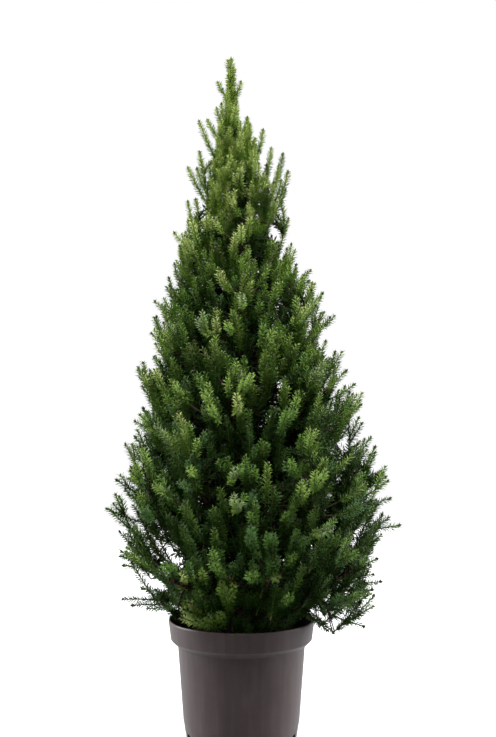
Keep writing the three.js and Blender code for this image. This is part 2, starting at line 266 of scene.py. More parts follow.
print("pot", POT["height"], "mm high,", 2 * POT["rim"], "mm across")


# %% The pot's shape
def drain_cutters():
    """Blocks with rounded corners, one through the wall at each drain slot."""
    bm = bmesh.new()
    for i in range(DRAIN["count"]):
        made = bmesh.ops.create_cube(bm, size=1)["verts"]
        bmesh.ops.scale(bm, vec=(DRAIN["depth"], DRAIN["width"], DRAIN["height"]), verts=made)
        corners = {e for v in made for e in v.link_edges if abs(e.verts[0].co.x - e.verts[1].co.x) > 1}
        cut = bmesh.ops.bevel(bm, geom=list(corners), offset=DRAIN["corner"], segments=4, **BEVEL)
        made = list({v for f in cut["faces"] for v in f.verts} | {v for v in made if v.is_valid})
        bmesh.ops.translate(bm, vec=(POT["foot"], 0, DRAIN["sill"] + DRAIN["height"] / 2), verts=made)
        turn = (i + 0.5) * 2 * math.pi / DRAIN["count"]
        bmesh.ops.rotate(bm, cent=(0, 0, 0), matrix=Matrix.Rotation(turn, 3, "Z"), verts=made)
    return mesh_of(bm, smooth=False)


def cut_away(mesh, tool_mesh):
    """The mesh with the tool's volume taken out of it."""
    body = bpy.data.objects.new("body", mesh)
    tool = bpy.data.objects.new("tool", tool_mesh)
    for thing in (body, tool):
        scene.collection.objects.link(thing)
    cut = body.modifiers.new("cut", "BOOLEAN")
    cut.operation = "DIFFERENCE"
    cut.object = tool
    cut.solver = "EXACT"
    result = bpy.data.meshes.new_from_object(body.evaluated_get(bpy.context.evaluated_depsgraph_get()))
    for thing in (body, tool):
        bpy.data.objects.remove(thing)
    return result


pot_mesh = cut_away(mesh_of(spun(POT_SECTION, steps=120, rounded=0.9)), drain_cutters())
print("pot mesh", len(pot_mesh.vertices), "points")

# %% [markdown]
# ### Moulded plastic
# Injection-moulded polypropylene is a dull plastic. Recycled, it comes out in a greyish brown that is
# never quite even, and melt that flowed up the mould leaves faint streaks. The wall is finely grained,
# so its highlights are broad, and handling leaves it a little dusty and scuffed all over.

# %% Moulded plastic
def new_finish(name):
    """A material without nodes, and its tree."""
    made = bpy.data.materials.new(name)
    made.use_nodes = True
    made.node_tree.nodes.clear()
    return made, made.node_tree


def surface(tree, inputs):
    """The end of a finish: its surface, joined to the output."""
    made = node(tree, "BsdfPrincipled", inputs)
    node(tree, "OutputMaterial", {"Surface": made.outputs["BSDF"]})


plastic, tree = new_finish("moulded_polypropylene")
place = node(tree, "TexCoord").outputs["Object"]
# Streaks are about 12 mm apart round the wall and 150 mm long.
stretched = node(tree, "Mapping", {"Vector": place, "Scale": (1, 1, 0.08)}).outputs["Vector"]
streaks = node(tree, "TexNoise", {"Vector": stretched, "Scale": 80.0, "Detail": 3.0}).outputs["Fac"]
cloudy = {"Vector": place, "Scale": 14.0, "Detail": 6.0, "Roughness": 0.6}
dust = node(tree, "TexNoise", cloudy).outputs["Fac"]
worn = node(tree, "Mix", {"Factor": 0.5, 2: streaks, 3: dust}, data_type="FLOAT").outputs[0]
browns = [(0.3, linear("#635554")), (0.52, linear("#6F615F")), (0.72, linear("#7D6E6C"))]
colour = node(tree, "ValToRGB", {"Fac": worn}, browns).outputs["Color"]
# The mould's grain is a fraction of a millimetre; it is drawn at 1.5 mm so that it shows.
grain = node(tree, "TexNoise", {"Vector": place, "Scale": 650.0, "Detail": 2.0}).outputs["Fac"]
fine = node(tree, "Bump", {"Height": grain, "Strength": 0.12, "Distance": 0.0004}).outputs["Normal"]
waves = {"Height": streaks, "Strength": 0.25, "Distance": 0.0006, "Normal": fine}
ripple = node(tree, "Bump", waves).outputs["Normal"]
scuffs = {"Value": dust, "From Min": 0.3, "From Max": 0.75, "To Min": 0.3, "To Max": 0.42}
dull = node(tree, "MapRange", scuffs).outputs["Result"]
surface(tree, {"Base Color": colour, "Roughness": dull, "IOR": 1.49, "Normal": ripple})
hand_over("nursery_pot", pot_mesh, plastic, ["pot"])

# %% [markdown]
# ## The potting mix
# Bark fines and peat, watered flat, a little higher round the trunk. The section is spun like the pot's,
# its top is divided finely and its points are moved by noise of two sizes: lumps of about 12 mm and
# crumbs of about 4 mm.

# %% The potting mix's section
wall_clear = POT["wall"] + GAP
collar_share = (MIX["level"] - POT["collar_foot"]) / (POT["height"] - POT["collar_foot"])
collar_radius = POT["collar_foot_radius"] + collar_share * (POT["rim"] - POT["collar_foot_radius"])
mix_edge = collar_radius - wall_clear - 1.5
TOP_RINGS = 56
top = [(mix_edge * (1 - i / TOP_RINGS), MIX["level"]) for i in range(TOP_RINGS + 1)]
MIX_SECTION = [
    (0, POT["floor"] + GAP),
    (POT["foot"] - wall_clear - 0.5, POT["floor"] + GAP),
    (POT["waist_radius"] - wall_clear, POT["waist"]),
    (POT["shoulder_radius"] - wall_clear, POT["shoulder"] + 3),
    (POT["collar_foot_radius"] - wall_clear - 0.5, POT["collar_foot"] + 2),
] + top
print("mix", round(mix_edge), "mm to its edge")

# %% The potting mix's lumps and crumbs
LUMP, LUMP_HEIGHT = 12, 1.6
CRUMB, CRUMB_HEIGHT = 4, 1.3
bm = spun(MIX_SECTION, steps=180)
for vert in bm.verts:
    if vert.co.z < MIX["level"] - 1:
        continue
    away = math.hypot(vert.co.x, vert.co.y)
    rise = MIX["crown"] * min(1, (mix_edge - away) / (mix_edge - MIX["flat"]))
    lumps = LUMP_HEIGHT * noise.noise(vert.co / LUMP)
    crumbs = CRUMB_HEIGHT * noise.noise(vert.co / CRUMB)
    loose = min(1, (mix_edge - away) / 6) * min(1, away / 14)
    vert.co.z += rise + loose * (lumps + crumbs) - 1.2 * loose
mix_mesh = mesh_of(bm)
print("mix mesh", len(mix_mesh.vertices), "points")

# %% [markdown]
# ### Bark fines and peat
# Composted bark is a heap of chips in many browns, from pale wood to nearly black peat, and the dark ones
# hold more water. Voronoi cells are such chips: one colour each, and the same value makes the pale ones
# duller and the dark ones damp.

# %% Bark fines and peat
bark_fines, tree = new_finish("bark_fines_and_peat")
place = node(tree, "TexCoord").outputs["Object"]
# Chips are about 5 mm across.
chips = node(tree, "TexVoronoi", {"Vector": place, "Scale": 190.0, "Randomness": 1.0})
shade = node(tree, "SeparateColor", {"Color": chips.outputs["Color"]}).outputs["Red"]
peat_to_wood = [(0.0, linear("#17110D")), (0.6, linear("#2E2119")), (0.97, linear("#5B432F"))]
colour = node(tree, "ValToRGB", {"Fac": shade}, peat_to_wood).outputs["Color"]
damp = node(tree, "MapRange", {"Value": shade, "To Min": 0.6, "To Max": 0.95}).outputs["Result"]
relief = node(tree, "Bump", {"Height": chips.outputs["Distance"], "Strength": 0.7, "Distance": 0.002})
surface(tree, {"Base Color": colour, "Roughness": damp, "Normal": relief.outputs["Normal"]})
hand_over("potting_mix_crumb", mix_mesh, bark_fines, ["potting_mix"])

# %% [markdown]
# ## How the plant grows
# The crown follows a few rules. The trunk leans and sways a little. The outline is a cone whose skirt
# draws in over the pot. Tiers of stems leave the trunk, and each stem keeps the space that is nearer to
# it than to any other. Shoots turn outwards at the crown's foot and nearly upright at its top. These are
# the rules that made the measured solids, written for whole arrays of points at once.

# %% The crown's sizes
CROWN = dict(top=1312, radius=270, widest=0.22, taper=0.9, skirt_round=0.32)
CROWN.update(full_side=0.08, full_skirt=0.12, underside=232, droop=18, lean=-20)
TRUNK = dict(radius=13, flare=7, flare_height=26, tip_radius=2.6, tip=1095)
# Each: name, stems, height they leave the trunk at, height they reach, sprays, core's spread, limb's
# radius, bough's share of the way.
TIERS = [
    ("skirt", 7, 268, 362, 8, 105, 6.5, 0.4),
    ("low", 7, 335, 535, 8, 105, 6.5, 0.38),
    ("middle", 6, 480, 705, 7, 105, 5.5, 0.34),
    ("shoulder", 5, 640, 865, 7, 90, 4.5, 0),
    ("upper", 4, 795, 1010, 6, 62, 3.6, 0),
    ("top", 3, 940, 1130, 6, 38, 3, 0),
]
GOLDEN_TURN = math.pi * (3 - math.sqrt(5))
print(sum(tier[1] for tier in TIERS), "stems in", len(TIERS), "tiers")


# %% Small helpers
def chance(mass, k):
    """A repeatable number from 0 to 1 for twig k of a mass."""
    wave = math.sin(mass * 127.1 + k * 311.7) * 43758.5453
    return wave - math.floor(wave)


def mix(a, b, share):
    """What lies at a share of the way from a to b."""
    return a + (b - a) * share


def unit(vectors):
    """The vectors at length one."""
    return vectors / np.maximum(np.linalg.norm(vectors, axis=-1, keepdims=True), 1e-9)


print("the golden turn is", round(math.degrees(GOLDEN_TURN), 1), "degrees")

# %% [markdown]
# ### The trunk's line and the crown's outline
# The crown is measured from the trunk, so the trunk's line comes first. Round it the outline is a radius
# that depends on the height and the side: a cone that bulges a little, rounded off at the skirt, and
# somewhat fuller on the right.

# %% The trunk's line
def trunk_centre(z):
    """The trunk's middle at a height: it leans to the left and sways a few millimetres."""
    z = np.asarray(z, float)
    share = (z - GROUND) / (CROWN["top"] - GROUND)
    x = CROWN["lean"] * share + 5 * np.sin(2 * np.pi * share)
    return np.stack([x, 4 * np.sin(3 * np.pi * share), z], -1)


def trunk_radius(z):
    """Half of the trunk's thickness at a height, with the flare at its foot."""
    share = (z - GROUND) / (TRUNK["tip"] - GROUND)
    flare = TRUNK["flare"] * np.exp((GROUND - z) / TRUNK["flare_height"])
    return mix(TRUNK["radius"], TRUNK["tip_radius"], share) + flare


print("trunk", round(2 * float(trunk_radius(300))), "mm thick just over the pot")


# %% The crown's outline
def crown_share(z):
    """How far up the crown a height is: 0 at the pot's rim and 1 at the leader's tip."""
    return (z - POT["height"]) / (CROWN["top"] - POT["height"])


def crown_radius(z, azimuth):
    """How far the outline is from the trunk."""
    share = crown_share(z)
    fullness = CROWN["radius"] * (1 + CROWN["full_side"] * np.cos(azimuth))
    above = (np.maximum(0, 1 - share) / (1 - CROWN["widest"])) ** CROWN["taper"]
    under = (CROWN["widest"] - share) / (CROWN["skirt_round"] * (1 + CROWN["full_skirt"] * np.cos(azimuth)))
    below = np.sqrt(np.maximum(0, 1 - under**2))
    return fullness * np.where(share >= CROWN["widest"], above, below)


def azimuth_of(points):
    """Which side of the trunk points stand on, as a turn round it."""
    aside = points - trunk_centre(points[..., 2])
    return np.arctan2(aside[..., 1], aside[..., 0])


def outline_share(points):
    """How far out points are, as a share of the crown's outline there."""
    aside = points - trunk_centre(points[..., 2])
    reach = crown_radius(points[..., 2], azimuth_of(points))
    share = np.hypot(aside[..., 0], aside[..., 1]) / np.maximum(reach, 1e-6)
    return np.where(points[..., 2] < CROWN["top"], share, np.inf)


def growth(points, lowest=4, highest=80):
    """The way shoots turn as they grow: lifted this many degrees at the crown's foot and at its top."""
    out = (points - trunk_centre(points[..., 2])) * [1, 1, 0]
    share = np.clip(crown_share(points[..., 2]), 0, 1)
    lift = np.radians(mix(lowest, highest, np.sqrt(share)))[..., None]
    return unit(out) * np.cos(lift) + np.array([0, 0, 1]) * np.sin(lift)


print("widest", round(float(crown_radius(470, 0))), "mm from the trunk")

# %% [markdown]
# ### Bent lines
# Every bough, stem and shoot is one bent line: a start, a bend it heads for, and an end. A whole array
# of such lines can be followed at once.

# %% Bent lines
def on_line(line, share):
    """The point at a share of the way along each line."""
    share = np.asarray(share, float)[..., None]
    start, bend, end = line[..., 0, :], line[..., 1, :], line[..., 2, :]
    return (1 - share) ** 2 * start + 2 * share * (1 - share) * bend + share**2 * end


def heading(line, share):
    """Which way each line goes at a share of it."""
    share = np.asarray(share, float)[..., None]
    start, bend, end = line[..., 0, :], line[..., 1, :], line[..., 2, :]
    return unit((1 - share) * (bend - start) + share * (end - bend))


def even_share(line, along):
    """The line's own share at a share of its length."""
    shares = np.linspace(0, 1, 201)
    steps = np.linalg.norm(np.diff(on_line(line, shares), axis=0), axis=1)
    lengths = np.concatenate([[0], np.cumsum(steps)])
    return np.interp(along * lengths[-1], lengths, shares)


def line_length(line):
    """The length of one line, in millimetres."""
    return np.linalg.norm(np.diff(on_line(line, np.linspace(0, 1, 41)), axis=0), axis=1).sum()


def stretch(line, start, end):
    """The part of a line between two shares of it."""
    first, half, last = on_line(line, [start, mix(start, end, 0.5), end])
    return np.array([first, 2 * half - 0.5 * first - 0.5 * last, last])


def leaving(way, spread, turn):
    """A direction at `spread` from a way, turned round it."""
    aside = np.array([0, 0, 1.0]) if abs(way[2]) < 0.9 else np.array([1.0, 0, 0])
    across = unit(np.cross(way, aside))
    away = across * math.cos(turn) + np.cross(way, across) * math.sin(turn)
    return unit(way * math.cos(spread) + away * math.sin(spread))


print("halfway along a bend:", on_line(np.array([[0, 0, 0], [0, 0, 10], [10, 0, 10]]), 0.5).tolist())

# %% [markdown]
# ### The stems
# Each tier's stems leave the trunk round it like spokes, a little uneven in height and turn. A stem sags
# outwards first and then turns up to its tip near the outline. The lower ones start as a bare bough; the
# rest of the line carries foliage. The leader is the last stem and carries on the trunk's line.

# %% The stems
def stems_of_the_crown():
    """Every stem as a dictionary: its line, its limb, and the part of the line that carries foliage."""
    stems = []
    for row, (tier, count, low, high, sprays, core, limb, bough) in enumerate(TIERS):
        for i in range(count):
            seed = len(stems) + 1
            wobble = 0.25 * (chance(seed, 1) - 0.5)
            azimuth = (i + 0.5 * row + wobble) * 2 * math.pi / count + 0.35
            from_height = low + 50 * (((i * 3) % count) / count - 0.5)
            tip_height = high + 44 * (chance(seed, 3) - 0.5)
            out = np.array([math.cos(azimuth), math.sin(azimuth), 0])
            root = trunk_centre(from_height)
            tip = trunk_centre(tip_height) + out * 0.93 * crown_radius(tip_height, azimuth)
            bend = mix(root, tip, 0.62)
            bend[2] = mix(from_height, tip_height, 0.3)
            line = np.array([root, bend, tip])
            start = bough or (trunk_radius(from_height) - 1) / line_length(line)
            stems.append(dict(seed=seed, label=f"{tier}_{i + 1}", tier=tier, line=line, start=start))
            stems[-1].update(sprays=sprays, core=core, limb=limb, bough=bough)
            stems[-1].update(foliage=stretch(line, start, 1))
    root, tip = trunk_centre(TRUNK["tip"] + GAP), trunk_centre(CROWN["top"])
    line = np.array([root, mix(root, tip, 0.5), tip])
    stems.append(dict(seed=len(stems) + 1, label="leader", tier="leader", line=line, start=0))
    stems[-1].update(sprays=6, core=24, limb=2.4, bough=0, foliage=line)
    return stems


stems = stems_of_the_crown()
FOLIAGE = ["foliage_" + stem["label"] for stem in stems]
BOUGHS = ["bough_" + stem["label"] for stem in stems if stem["bough"]]
print(len(stems), "stems,", len(BOUGHS), "of them on boughs")

# %% [markdown]
# ## Trunk and boughs
# The bark of a young spruce is thin and scaly: flakes a few millimetres wide that lift at their lower
# edge. A limb starts as a small circle of points, is extruded ring by ring along its line, and each
# ring's points are then pushed in or out by the flakes' relief.

# %% Limbs with the bark's relief
BOUGH_FOOT, BOUGH_END = 1.25, 0.8


def flaky(point, size, deep):
    """The bark's relief at a point: flakes `size` wide, twice as long."""
    cells = noise.voronoi(Vector((point[0] / size, point[1] / size, point[2] / (2 * size))))[0]
    return deep * (0.5 - min(1, cells[0] * 1.6)) + 0.35 * deep * noise.noise(Vector(point) / (3 * size))


def grow_limb(bm, centres, radii, sides, flake, deep):
    """Extrudes a circle through the centres, closed at both ends."""
    ways = unit(np.gradient(np.array(centres), axis=0))
    aside = np.array([0, 0, 1.0]) if abs(ways[0][2]) < 0.8 else np.array([1.0, 0, 0])
    first = bmesh.ops.create_circle(bm, cap_ends=True, segments=sides, radius=1)["verts"]
    turns = [math.atan2(vert.co.y, vert.co.x) for vert in first]
    ring = first
    for i, (centre, radius, way) in enumerate(zip(centres, radii, ways)):
        if i:
            loop = [e for e in {e for v in ring for e in v.link_edges} if set(e.verts) <= set(ring)]
            made = bmesh.ops.extrude_edge_only(bm, edges=loop)["geom"]
            grown = [g for g in made if isinstance(g, bmesh.types.BMVert)]
            pairs = {}
            for vert in grown:
                for edge in vert.link_edges:
                    other = edge.other_vert(vert)
                    if other in ring:
                        pairs[other] = vert
            ring = [pairs[vert] for vert in ring]
        across = unit(np.cross(way, aside))
        other = np.cross(across, way)
        for vert, turn in zip(ring, turns):
            away = across * math.cos(turn) + other * math.sin(turn)
            bare = centre + away * radius
            vert.co = centre + away * (radius + flaky(bare, flake, deep))
    bmesh.ops.contextual_create(bm, geom=ring)


print("a flake lifts", round(flaky((10, 0, 300), size=5.0, deep=0.9), 2), "mm at one point of the trunk")


# %% Trunk, boughs and stems
def trunk_mesh():
    """The trunk, flat underneath where it stands on the mix."""
    bm = bmesh.new()
    heights = GROUND + (TRUNK["tip"] - GROUND) * np.linspace(0, 1, 170) ** 1.15
    grow_limb(bm, trunk_centre(heights), trunk_radius(heights) - 0.3, 26, 5.0, 0.9)
    bmesh.ops.recalc_face_normals(bm, faces=bm.faces)
    for vert in bm.verts:
        vert.co.z = max(vert.co.z, GROUND)
    return mesh_of(bm)


def boughs_mesh():
    """Every bare bough, from the trunk to where its foliage starts."""
    bm = bmesh.new()
    for stem in (s for s in stems if s["bough"]):
        shares = np.linspace(0.02, stem["start"] - 0.002, 18)
        radii = stem["limb"] * (BOUGH_FOOT - (BOUGH_FOOT - BOUGH_END) * shares / stem["start"])
        grow_limb(bm, on_line(stem["line"], shares), radii, 12, 3.2, 0.5)
    bmesh.ops.recalc_face_normals(bm, faces=bm.faces)
    return mesh_of(bm)


def stems_mesh():
    """The stems inside the foliage, down to the thickness of a twig."""
    bm = bmesh.new()
    for stem in stems:
        shares = np.linspace(-0.01 if stem["bough"] else 0.0, 0.97, 22)
        thick = stem["limb"] * (BOUGH_END if stem["bough"] else 1)
        radii = mix(thick, 1.1, np.clip(shares, 0, 1) ** 0.8)
        grow_limb(bm, on_line(stem["foliage"], shares), radii, 8, 2.6, 0.35)
    bmesh.ops.recalc_face_normals(bm, faces=bm.faces)
    return mesh_of(bm)


print(len(stems), "stems to draw")

# %% [markdown]
# ### Scaly bark
# To the eye the bark is a mosaic of warm brown flakes that have weathered grey in the middle, without any
# gloss. Voronoi cells are the flakes, stretched along the limb. Their relief is a bump map, and a second
# bump adds cracks that are finer than the mesh can show.

# %% Scaly bark
bark, tree = new_finish("scaly_spruce_bark")
place = node(tree, "TexCoord").outputs["Object"]
long = node(tree, "Mapping", {"Vector": place, "Scale": (1, 1, 0.5)}).outputs["Vector"]
# A flake is about 4 mm wide; its edge is darker and its middle weathers grey.
flakes = node(tree, "TexVoronoi", {"Vector": long, "Scale": 240.0})
tone = node(tree, "SeparateColor", {"Color": flakes.outputs["Color"]}).outputs["Green"]
edge = node(tree, "Math", {0: flakes.outputs["Distance"], 1: 0.45}, operation="MULTIPLY").outputs[0]
mixed = node(tree, "Math", {0: tone, 1: edge}, operation="SUBTRACT").outputs[0]
weathered = [(0.0, linear("#3A2418")), (0.45, linear("#6A4A34")), (0.9, linear("#94806C"))]
colour = node(tree, "ValToRGB", {"Fac": mixed}, weathered).outputs["Color"]
cracks = node(tree, "TexNoise", {"Vector": long, "Scale": 700.0, "Detail": 4.0}).outputs["Fac"]
edges = {"Height": flakes.outputs["Distance"], "Strength": 0.5, "Distance": 0.0008}
relief = node(tree, "Bump", edges).outputs["Normal"]
fissures = {"Height": cracks, "Strength": 0.4, "Distance": 0.0004, "Normal": relief}
fine = node(tree, "Bump", fissures).outputs["Normal"]
surface(tree, {"Base Color": colour, "Roughness": 0.88, "Normal": fine})
hand_over("trunk_bark", trunk_mesh(), bark, ["trunk"])
hand_over("boughs_bark", boughs_mesh(), bark, BOUGHS)
hand_over("stems_bark", stems_mesh(), bark, FOLIAGE)

# %% [markdown]
# ## The space a stem keeps
# Before twigs grow, we ask of any point whether it lies in a stem's own space: nearer to that stem than
# to any other by a twig's width, inside the outline, off the pot, the trunk and the boughs. One call
# answers for a whole handful of points.

# %% The space a stem keeps
on_boughs = [stem for stem in stems if stem["bough"]]
bough_lines = [stretch(stem["line"], 0, stem["start"]) for stem in on_boughs]
SPINES = np.array([on_line(stem["foliage"], np.linspace(0, 1, 9)) for stem in stems])
BOUGH_SPINES = np.array([on_line(line, np.linspace(0, 1, 7)) for line in bough_lines])
BOUGH_RADII = np.array([stem["limb"] * BOUGH_FOOT for stem in on_boughs])


def distances(points, spines):
    """The distance from each point to each spine."""
    first, step = spines[:, :-1], np.diff(spines, axis=1)
    gone = points[:, None, None] - first
    share = np.clip((gone * step).sum(-1) / (step * step).sum(-1), 0, 1)
    return np.linalg.norm(gone - share[..., None] * step, axis=-1).min(-1)


def off_the_pot(points, ball):
    """Which points, with a ball round them, are over the pot's rim or above the crown's underside."""
    from_axis = np.hypot(points[:, 0], points[:, 1])
    over = from_axis < POT["rim"] + ball + 2
    underside = CROWN["underside"] - CROWN["droop"] * points[:, 0] / np.maximum(from_axis, 1e-6)
    return points[:, 2] >= np.where(over, POT["height"] + ball + 2, underside)


def fits(own, points, ball, outline):
    """Which points, with a ball round them, lie in a stem's own space."""
    fine = (outline_share(points) <= outline) & off_the_pot(points, ball)
    z = points[:, 2]
    off_trunk = np.linalg.norm(points - trunk_centre(z), axis=1) >= trunk_radius(z) + ball
    fine &= off_trunk | (points[:, 2] >= TRUNK["tip"])
    away = distances(points, SPINES)
    mine = away[:, own].copy()
    away[:, own] = np.inf
    fine &= away.min(1) >= mine + 2 * ball
    return fine & (distances(points, BOUGH_SPINES) > BOUGH_RADII + ball).all(1)


def core_reach(own, foot, way):
    """How far the dense middle of the mass reaches from a point of its stem."""
    stem = stems[own]
    reach = 1.4 * stem["limb"]
    steps = np.arange(0, max(1, math.ceil((stem["core"] - reach) / 5)))
    room = fits(own, foot + np.outer(reach + 5 * (steps + 1), way), 4.5, 0.86)
    return reach + 5 * (len(steps) if room.all() else int(np.argmin(room)))


print("space kept round", len(SPINES), "stems and", len(BOUGH_SPINES), "boughs")

# %% [markdown]
# ## Plumes
# The eye reads this plant as hundreds of little plumes. Each one is the end of a twig that left the stem
# at a golden turn from the last, and it stands where the measured rule puts a spray: rooted in the mass,
# turning the way the crown grows, its tip near the outline. These are the shoots that reach furthest.

# %% Plumes by the rule
SPREAD = math.radians(50)
LENGTHS = 118 * 0.88 ** np.arange(10)


def shoot_line(root, start, length, lowest=4, highest=80):
    """A shoot leaves along `start` and turns the way the crown grows."""
    root, start, length = np.asarray(root), np.asarray(start), np.asarray(length)[..., None]
    bend = root + start * length * 0.45
    end = unit(start * 0.3 + growth(bend, lowest, highest) * 0.7)
    return np.stack(np.broadcast_arrays(root, bend, bend + end * length * 0.55), -2)


def longest_that_fits(own, root, start, outline):
    """The longest shoot from this root that stays in the stem's own space, or None."""
    lines = shoot_line(np.tile(root, (len(LENGTHS), 1)), start, LENGTHS)
    places = on_line(lines[:, None], np.array([[0.4, 0.6, 0.8, 1.0]]))
    room = fits(own, places.reshape(-1, 3), 8.5, outline).reshape(len(LENGTHS), 4).all(1)
    room &= LENGTHS > 36
    return lines[np.argmax(room)] if room.any() else None


def plumes_of(own):
    """The plumes of one mass, each with the twig from its stem."""
    stem, found = stems[own], []
    for k in range(40):
        if len(found) == stem["sprays"]:
            break
        share = even_share(stem["foliage"], mix(0.12, 0.97, chance(stem["seed"], 10 + k)))
        foot, way = on_line(stem["foliage"], share), heading(stem["foliage"], share)
        spread = SPREAD * (0.6 + 0.8 * chance(stem["seed"], 100 + k))
        start = leaving(way, spread, k * GOLDEN_TURN + stem["seed"])
        root = foot + start * max(0, core_reach(own, foot, start) - 16)
        line = longest_that_fits(own, root, start, mix(0.96, 1.06, chance(stem["seed"], 70 + k)))
        if line is None or outline_share(line[2]) < 0.84:
            continue
        if all(np.linalg.norm(line[2] - other[1][2]) > 30 for other in found):
            found.append((np.array([foot, mix(foot, root, 0.5), root]), line))
    return found


ruled = [pair for own in range(len(stems)) for pair in plumes_of(own)]
print(len(ruled), "plumes by the rule,", round(len(ruled) / len(stems)), "to a mass")

# %% [markdown]
# ## Filling the bare places
# Between those shoots the surface is still bare. Places are laid out evenly over the outline, by height
# and golden turn, as seeds are in a sunflower. Where no plume ends near one, a twig grows to it from the
# nearest stem and carries one more plume. The plumes crowd round branch ends, laid out the same way but
# wider and taller: near a branch end they stand proud, and between two they stay back or don't grow at
# all. That gives the surface its upright folds, with hollows that fall into shade.

# %% Even places on the outline
rng = np.random.default_rng(11)
UP, EAST = np.array([0, 0, 1.0]), np.array([1.0, 0, 0])


def even_places(spacing, lowest, highest):
    """Heights and azimuths of points that share the crown's surface evenly."""
    heights = np.linspace(lowest, highest, 900)
    radii = crown_radius(heights, np.pi / 2)
    strip = 2 * np.pi * radii * np.hypot(np.gradient(heights), np.gradient(radii))
    strip *= 1 + 0.8 * np.clip(crown_share(heights), 0, 1) ** 2
    area = np.cumsum(strip)
    count = int(area[-1] / spacing**2)
    z = np.interp((np.arange(count) + 0.5) / count * area[-1], area, heights)
    return z + rng.normal(0, 5, count), GOLDEN_TURN * np.arange(count) + rng.normal(0, 0.04, count)


def at_outline(z, azimuth, share):
    """Points at a share of the crown's outline."""
    out = np.stack([np.cos(azimuth), np.sin(azimuth), 0 * azimuth], -1)
    return trunk_centre(z) + out * (share * crown_radius(z, azimuth))[:, None]


WALK = np.linspace(0, 1, 41)
STEM_LINES = np.array([stem["foliage"] for stem in stems])
STEM_WALKS = np.array([on_line(line, WALK) for line in STEM_LINES])


def nearest_foot(points, back):
    """Where a twig to each point leaves its nearest stem, some way back from the nearest place."""
    flat = STEM_WALKS.reshape(-1, 3)
    handfuls = np.array_split(points, 20)
    near = [np.argmin(np.linalg.norm(some[:, None] - flat, axis=2), 1) for some in handfuls]
    own, step = np.divmod(np.concatenate(near), len(WALK))
    step = np.maximum(0, step - back)
    return STEM_WALKS[own, step], heading(STEM_LINES[own], WALK[step])


def twig_between(foot, way, root):
    """A twig leaves its stem along a slant and bends towards the root of its plume."""
    gap = np.linalg.norm(root - foot, axis=1, keepdims=True)
    bend = foot + unit(way * 0.55 + unit(root - foot) * 0.45) * gap * 0.5
    return np.stack([foot, bend, root], 1)


print(len(STEM_WALKS), "stems to grow from")

# %% [markdown]
# ### Branch ends
# The end of a branch is a knot of plumes. The ends are laid out evenly too, taller than they are wide,
# and each has its own luck with the light and its own depth: one stands a little further out than the
# next. The nearest end to a place, and how far off it is, tells how a plume grows there.

# %% Branch ends
KNOT_SPACING = 78
TALLER = 2.4
knot_z, knot_azimuth = even_places(KNOT_SPACING, lowest=262, highest=1270)
knot_luck = rng.uniform(0, 1, len(knot_z))
knot_depth = 0.14 * (rng.beta(2, 2, len(knot_z)) - 0.5)


def nearest_knot(z, azimuth):
    """The nearest branch end to each place, and how far off it is: 1 is halfway to the next."""
    turn = (azimuth[:, None] - knot_azimuth + np.pi) % (2 * np.pi) - np.pi
    along = turn * crown_radius(z, azimuth)[:, None]
    gap = np.hypot((z[:, None] - knot_z) / TALLER, along)
    scale = 0.5 * KNOT_SPACING / math.sqrt(TALLER) / (1 + 0.7 * np.clip(crown_share(z), 0, 1) ** 2)
    return np.argmin(gap, 1), gap.min(1) / scale


def from_stem_ends(points):
    """How far points are from the nearest end of a stem, in millimetres."""
    return np.linalg.norm(points[:, None] - STEM_LINES[:, 2], axis=2).min(1)


print(len(knot_z), "branch ends")

# %% [markdown]
# ### Branches out of line
# No spruce is a clean cone: here a branch stands proud of the outline and there one stays back, most of
# all near the top. Each one adds a hump to the reach of its side, or takes one away, and the hump fades
# above and below its height and towards the front and the back.

# %% Branches out of line
# Height, side (1 right, -1 left), share of the outline, half of its height.
ODD_BRANCHES = [
    (1222, 1, -0.5, 30), (1085, 1, 0.28, 30), (995, 1, -0.28, 30), (815, 1, 0.07, 30),
    (560, 1, -0.04, 30), (420, 1, 0.05, 30), (345, 1, -0.08, 30), (285, 1, 0.08, 30), (780, 1, -0.04, 30),
    (700, 1, -0.04, 30), (1178, -1, 0.25, 30), (1108, -1, -0.45, 30), (1035, -1, -0.14, 30),
    (885, -1, -0.06, 30), (806, -1, 0.04, 30), (745, -1, -0.06, 30), (690, -1, -0.06, 30),
    (640, -1, 0.03, 30), (480, -1, 0.07, 30), (410, -1, -0.05, 30), (375, -1, 0.06, 22),
    (1230, 1, -0.25, 16), (1205, 1, -0.35, 16), (1164, 1, 0.3, 14), (1116, 1, 0.36, 15),
    (1092, 1, 0.14, 15), (1045, 1, 0.14, 15), (1026, 1, 0.08, 15), (978, 1, -0.2, 14),
    (922, 1, -0.09, 18), (888, 1, 0.1, 14), (819, 1, 0.08, 14), (773, 1, -0.09, 14), (750, 1, 0.09, 14),
    (672, 1, 0.08, 20), (600, 1, -0.07, 20), (552, 1, 0.15, 18), (522, 1, 0.04, 14), (450, 1, -0.04, 20),
    (312, 1, -0.04, 14), (288, 1, 0.04, 14), (1257, -1, 0.5, 12), (1211, -1, -0.24, 14),
    (1188, -1, 0.2, 14), (1122, -1, -0.25, 14), (1083, -1, 0.26, 16), (1026, -1, -0.1, 15),
    (980, -1, -0.06, 14), (957, -1, 0.05, 12), (905, -1, -0.07, 16), (865, -1, -0.06, 20),
    (819, -1, 0.1, 12), (796, -1, 0.03, 12), (716, -1, 0.1, 18), (657, -1, -0.06, 14),
    (602, -1, -0.07, 20), (519, -1, -0.07, 16), (415, -1, -0.05, 16), (310, -1, -0.28, 28),
]


def odd_reach(z, azimuth):
    """What the branches out of line add to the share of the outline."""
    reach = np.zeros(len(z))
    for height, side, amount, tall in ODD_BRANCHES:
        reach += amount * np.exp(-(((z - height) / tall) ** 2)) * np.clip(side * np.cos(azimuth), 0, 1) ** 2
    return reach


print(len(ODD_BRANCHES), "branches out of line")
